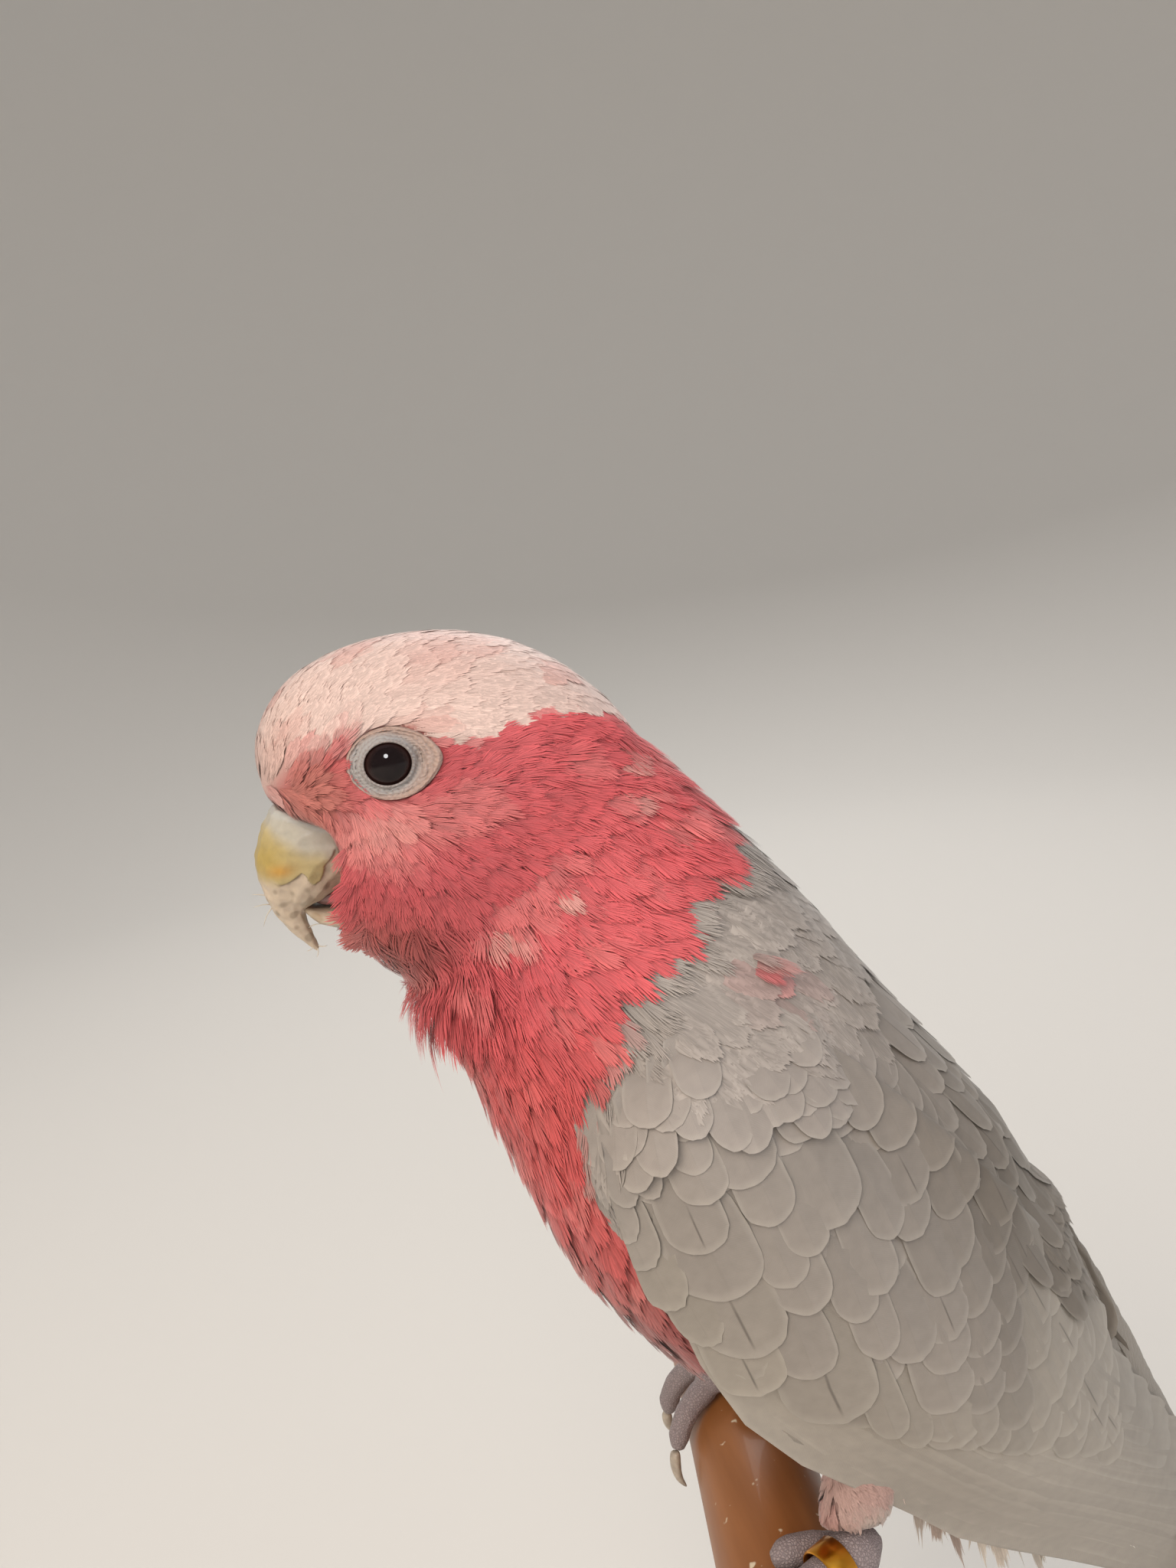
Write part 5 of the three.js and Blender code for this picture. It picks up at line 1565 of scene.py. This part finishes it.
FLIGHT_PATHS = [  # the lowest, a middle and the topmost flight feather: x, z from root to tip
    [(-18, 243), (-11, 223), (-2, 207), (14.5, 192), (27, 179), (40, 166), (78, 136), (118, 98)],
    [(0, 240), (12, 219), (32, 198), (54, 176), (80, 154), (109, 132)],
    [(28, 239), (37, 227), (48, 214), (59, 201), (70, 187), (82, 173)]]
FLIGHT_COUNT = 10
FLIGHT_HALF, FLIGHT_BOTTOM = (9.5, -4), (-0.8, 0.4)  # mm at the lowest feather, and what the topmost adds
COVERTS = [  # tip x, z, half width, length, and 1 where the shaft shows dark
    (5.2, 209.5, 8.8, 36, 1), (14.9, 202.7, 3.8, 27, 0), (19.8, 198.6, 3.6, 26, 0),
    (24.8, 198.6, 3.6, 26, 0), (31.0, 194.0, 3.8, 26, 0), (37.5, 190.5, 3.8, 26, 0),
    (-9.6, 218.2, 6.4, 26, 1), (-9.7, 228.1, 7.9, 34, 1), (12.9, 223.6, 4.5, 24, 0),
    (19.7, 220.5, 5.6, 25, 0), (9.6, 232.3, 4.6, 22, 0), (-13.1, 241.8, 7.9, 26, 0),
    (14.6, 236.0, 4.8, 22, 0), (2.4, 247.5, 4.5, 20, 0), (19.1, 244.5, 4.6, 20, 0),
    (8.8, 250.9, 6.9, 22, 0), (-16.6, 251.7, 5.6, 20, 1), (-3.6, 254.9, 5.2, 19, 0),
    (-14.9, 260.9, 4.9, 17, 0), (-6.4, 262.6, 6.3, 18, 0), (-15.7, 266.4, 3.8, 15, 0),
    (6.5, 266.9, 5.5, 18, 0), (20.2, 263.3, 4.6, 18, 0), (-16.3, 272.1, 3.6, 14, 0),
    (-11.1, 274.3, 5.2, 16, 0), (-0.5, 222.0, 5.6, 22, 0), (0.5, 236.5, 5.4, 22, 0),
    (-2.5, 242.5, 4.6, 20, 0)]
FRONT_COVERTS = [  # tip x, z, half width, length: the narrow ones along the wing's front edge
    (-10.5, 222.5, 4.0, 24), (-17.2, 231.0, 4.2, 26), (-22.8, 239.5, 4.4, 26), (-26.8, 248.4, 4.2, 22),
    (-29.0, 254.0, 3.2, 18), (-24.0, 262.5, 2.8, 15), (-28.0, 261.0, 2.6, 14), (-22.2, 266.3, 2.6, 14)]
FIELDS = [  # tips of the lowest row and of the top row, rows, feathers in a row, height over the sheet
    ([(-22, 241), (-12, 227), (0, 213), (12, 205), (24, 200)],
     [(-26, 266), (-14, 270), (0, 268), (18, 262), (30, 252)], 6, 6, -1.5),
    ([(24, 200), (36, 192), (50, 184), (64, 175), (76, 164)],
     [(20, 262), (34, 250), (50, 231), (64, 210), (78, 188)], 8, 7, -0.6)]
LONG_VANE = vane(0.05, root_width=0.7, steps=FLIGHT_STEPS, tone_and_shade=(1.0, 0.72))
ROUND_VANES = [vane(0.26, seed=s) for s in (51, 52, 53)]
NARROW_VANE = vane(0.30, root_width=0.5, seed=54)

for side, name in ((-1, "left"), (1, "right")):
    draw = np.random.default_rng(61 + side)
    sheet = Sheet("wing_" + name, side)
    coat = Coat()
    low, middle, high = (spaced(path, 13, 0) for path in FLIGHT_PATHS)
    for k in range(FLIGHT_COUNT):
        share = k / (FLIGHT_COUNT - 1)
        if share < 0.5:
            path = low * (1 - 2 * share) + middle * 2 * share
        else:
            path = middle * (2 - 2 * share) + high * (2 * share - 1)
        half = np.array([FLIGHT_HALF[0] + FLIGHT_HALF[1] * share])
        bottom = FLIGHT_BOTTOM[0] + FLIGHT_BOTTOM[1] * share
        colours = np.array([linear(FLIGHT_LOW)]) * (1 - share) + np.array([linear(FLIGHT_HIGH)]) * share
        lay_vanes(coat, sheet, path[:, None], half, bottom, 0.42, LONG_VANE, draw, colours,
                  tilt=-0.015, sink=1.4, cup=0.02)
    coat.finish("flight_" + name, firm)
    coat = Coat()
    for lowest, topmost, rows, per_row, bottom in FIELDS:
        for row in range(rows - 1, -1, -1):
            share = row / (rows - 1)
            count = per_row + row % 2
            line = spaced(lowest, 40, 0) * (1 - share) + spaced(topmost, 40, 0) * share
            tips = spaced(line, count, 0.5, draw, 0.16) + draw.normal(size=(count, 2)) * 0.8
            tips[:, 0] = np.maximum(tips[:, 0], np.interp(tips[:, 1], *zip(*WING_FRONT)) + 5)
            flat = trailing(tips, (27 - 8 * share) * draw.uniform(0.9, 1.1, count))
            half = (5.8 - 0.6 * share) * draw.uniform(0.9, 1.1, count)
            for index, shape in enumerate(ROUND_VANES):
                pick = np.arange(count) % len(ROUND_VANES) == index
                lay_vanes(coat, sheet, flat[:, pick], half[pick], bottom, 0.65, shape, draw,
                          grey_at(tips[pick]), sink=0.3 + 3 * share**3,
                          shafts=draw.random(pick.sum()) > 0.85)
    for table, shapes, bottom, sink in ((COVERTS, ROUND_VANES, -0.75, 0.8),
                                        (FRONT_COVERTS, [NARROW_VANE], -0.85, 2.4)):
        for row, feather in enumerate(table):
            tip = np.array([feather[:2]], float)
            shaft = np.array([feather[4] if len(feather) > 4 else 0.0])
            flat, half = trailing(tip, np.array([feather[3]])), np.array([feather[2]], float)
            lay_vanes(coat, sheet, flat, half, bottom, 0.75, shapes[row % len(shapes)], draw,
                      grey_at(tip), sink=sink, shafts=shaft)
    coat.finish("coverts_" + name, firm)

# The smallest coverts, at the shoulder, are soft and lie over the roots of the firm ones.
draw = np.random.default_rng(63)
SOFT_VANES = [vane(0.34, root_width=0.5, seed=s, uneven=0.008) for s in (55, 56, 57)]
SHOULDER_GAP, SHOULDER_LENGTH, SHOULDER_HALF = 3.0, 15.0, 4.4


def laid_on_skin(coat, shapes, roots, faces, length, half, rise, table, wing, turn, flat=0.35,
                 shaft_share=0.0):
    """Firm feathers that creep from their roots over the skin."""
    count = len(roots)
    lines, ups = creep(BODY, roots, length * MM * draw.uniform(0.85, 1.15, count), table,
                       draw.normal(size=count) * turn, LINE_STEPS)
    halves = half * draw.uniform(0.88, 1.12, count)
    heights = BODY.depths[faces] * rise * MM * draw.uniform(0.9, 1.1, count)
    colours = markings(lines[3], 0.6, wing) * draw.normal(1, 0.03, (count, 1))
    shafts = DARK_SHAFT * (draw.random(count) < shaft_share)
    for index, shape in enumerate(shapes):
        pick = np.arange(count) % len(shapes) == index
        places = lay(lines[:, pick], ups[:, pick], halves[pick] * MM, heights[pick], shape, flat=flat)
        away = np.abs(shape.across)[None] * halves[pick][:, None]
        slant = np.array(shape.along)[None] * length - 0.8 * away
        marks = np.array(shape.marks)
        lies = np.stack([marks[:, 0] + shafts[pick][:, None],
                         np.broadcast_to(marks[:, 1], slant.shape), slant], axis=-1)
        coat.add(places, shape, colours[pick], roots[pick], lies)


coat = Coat()
roots, faces = scatter(BODY, even(SHOULDER_GAP), shoulder, 64)
laid_on_skin(coat, SOFT_VANES, roots, faces, SHOULDER_LENGTH, SHOULDER_HALF, 1.0, WING_LIE, 1.0, 0.08)
coat.finish("coat_shoulders", firm)


# ---------------------------------------------------------------- the back
# Long narrow scapulars and back feathers with whitish edges, over the wings' roots.

draw = np.random.default_rng(71)
BACK_GAP, BACK_LENGTH, BACK_HALF = 5.0, 30.0, 4.6
coat = Coat()
roots, faces = scatter(BODY, even(BACK_GAP), is_back, 72)
laid_on_skin(coat, [NARROW_VANE], roots, faces, BACK_LENGTH, BACK_HALF, 1.0, LIE, 0.0, 0.08, 0.5, 0.25)
coat.finish("back_feathers", firm)


# ---------------------------------------------------------------- the tail
# Twelve long grey tail feathers, fanned a little and stacked like roof tiles with the
# middle pair on top.

TAIL_ROOT, TAIL_TIP = Vector((76, 0, 160)) * MM, Vector((145, 0, 60)) * MM
TAIL_WIDTH, TAIL_RISE = 8.2 * MM, 0.3 * MM
RECTRIX = vane(0.08, root_width=0.6, steps=FLIGHT_STEPS)
tail_run = (TAIL_TIP - TAIL_ROOT).normalized()
tail_up = tail_run.cross(Vector((0, 1, 0)))
if tail_up.z < 0:
    tail_up = -tail_up
coat = Coat()
for pair in range(6):
    for side in (-1, 1):
        root = TAIL_ROOT + Vector((0, side * pair * 1.5, 0)) * MM
        tip = TAIL_TIP + Vector((0, side * (2.4 + pair * 2.3), 0)) * MM - tail_run * (pair * 2.2 * MM)
        steps = np.linspace(0, 1, 7)[:, None]
        line = np.array(root) * (1 - steps) + np.array(tip) * steps
        line = line - np.array(tail_up) * (pair * 0.55 - 1.2) * MM
        up = np.tile(np.array(tail_up) + np.array((0, side * 0.05 * pair, 0)), (7, 1))
        places = lay(line[:, None], up[:, None], np.array([TAIL_WIDTH]), np.array([TAIL_RISE]),
                     RECTRIX, cup=0.05)
        tone = np.array([linear(TAIL_GREY)]) * (1 + 0.1 * (pair % 2))
        slant = np.array(RECTRIX.along) * 120 - 0.8 * np.abs(RECTRIX.across) * 8
        coat.add(places, RECTRIX, tone, np.array([line[2]]),
                 np.column_stack([np.array(RECTRIX.marks), slant])[None])
coat.finish("tail_feathers", firm)
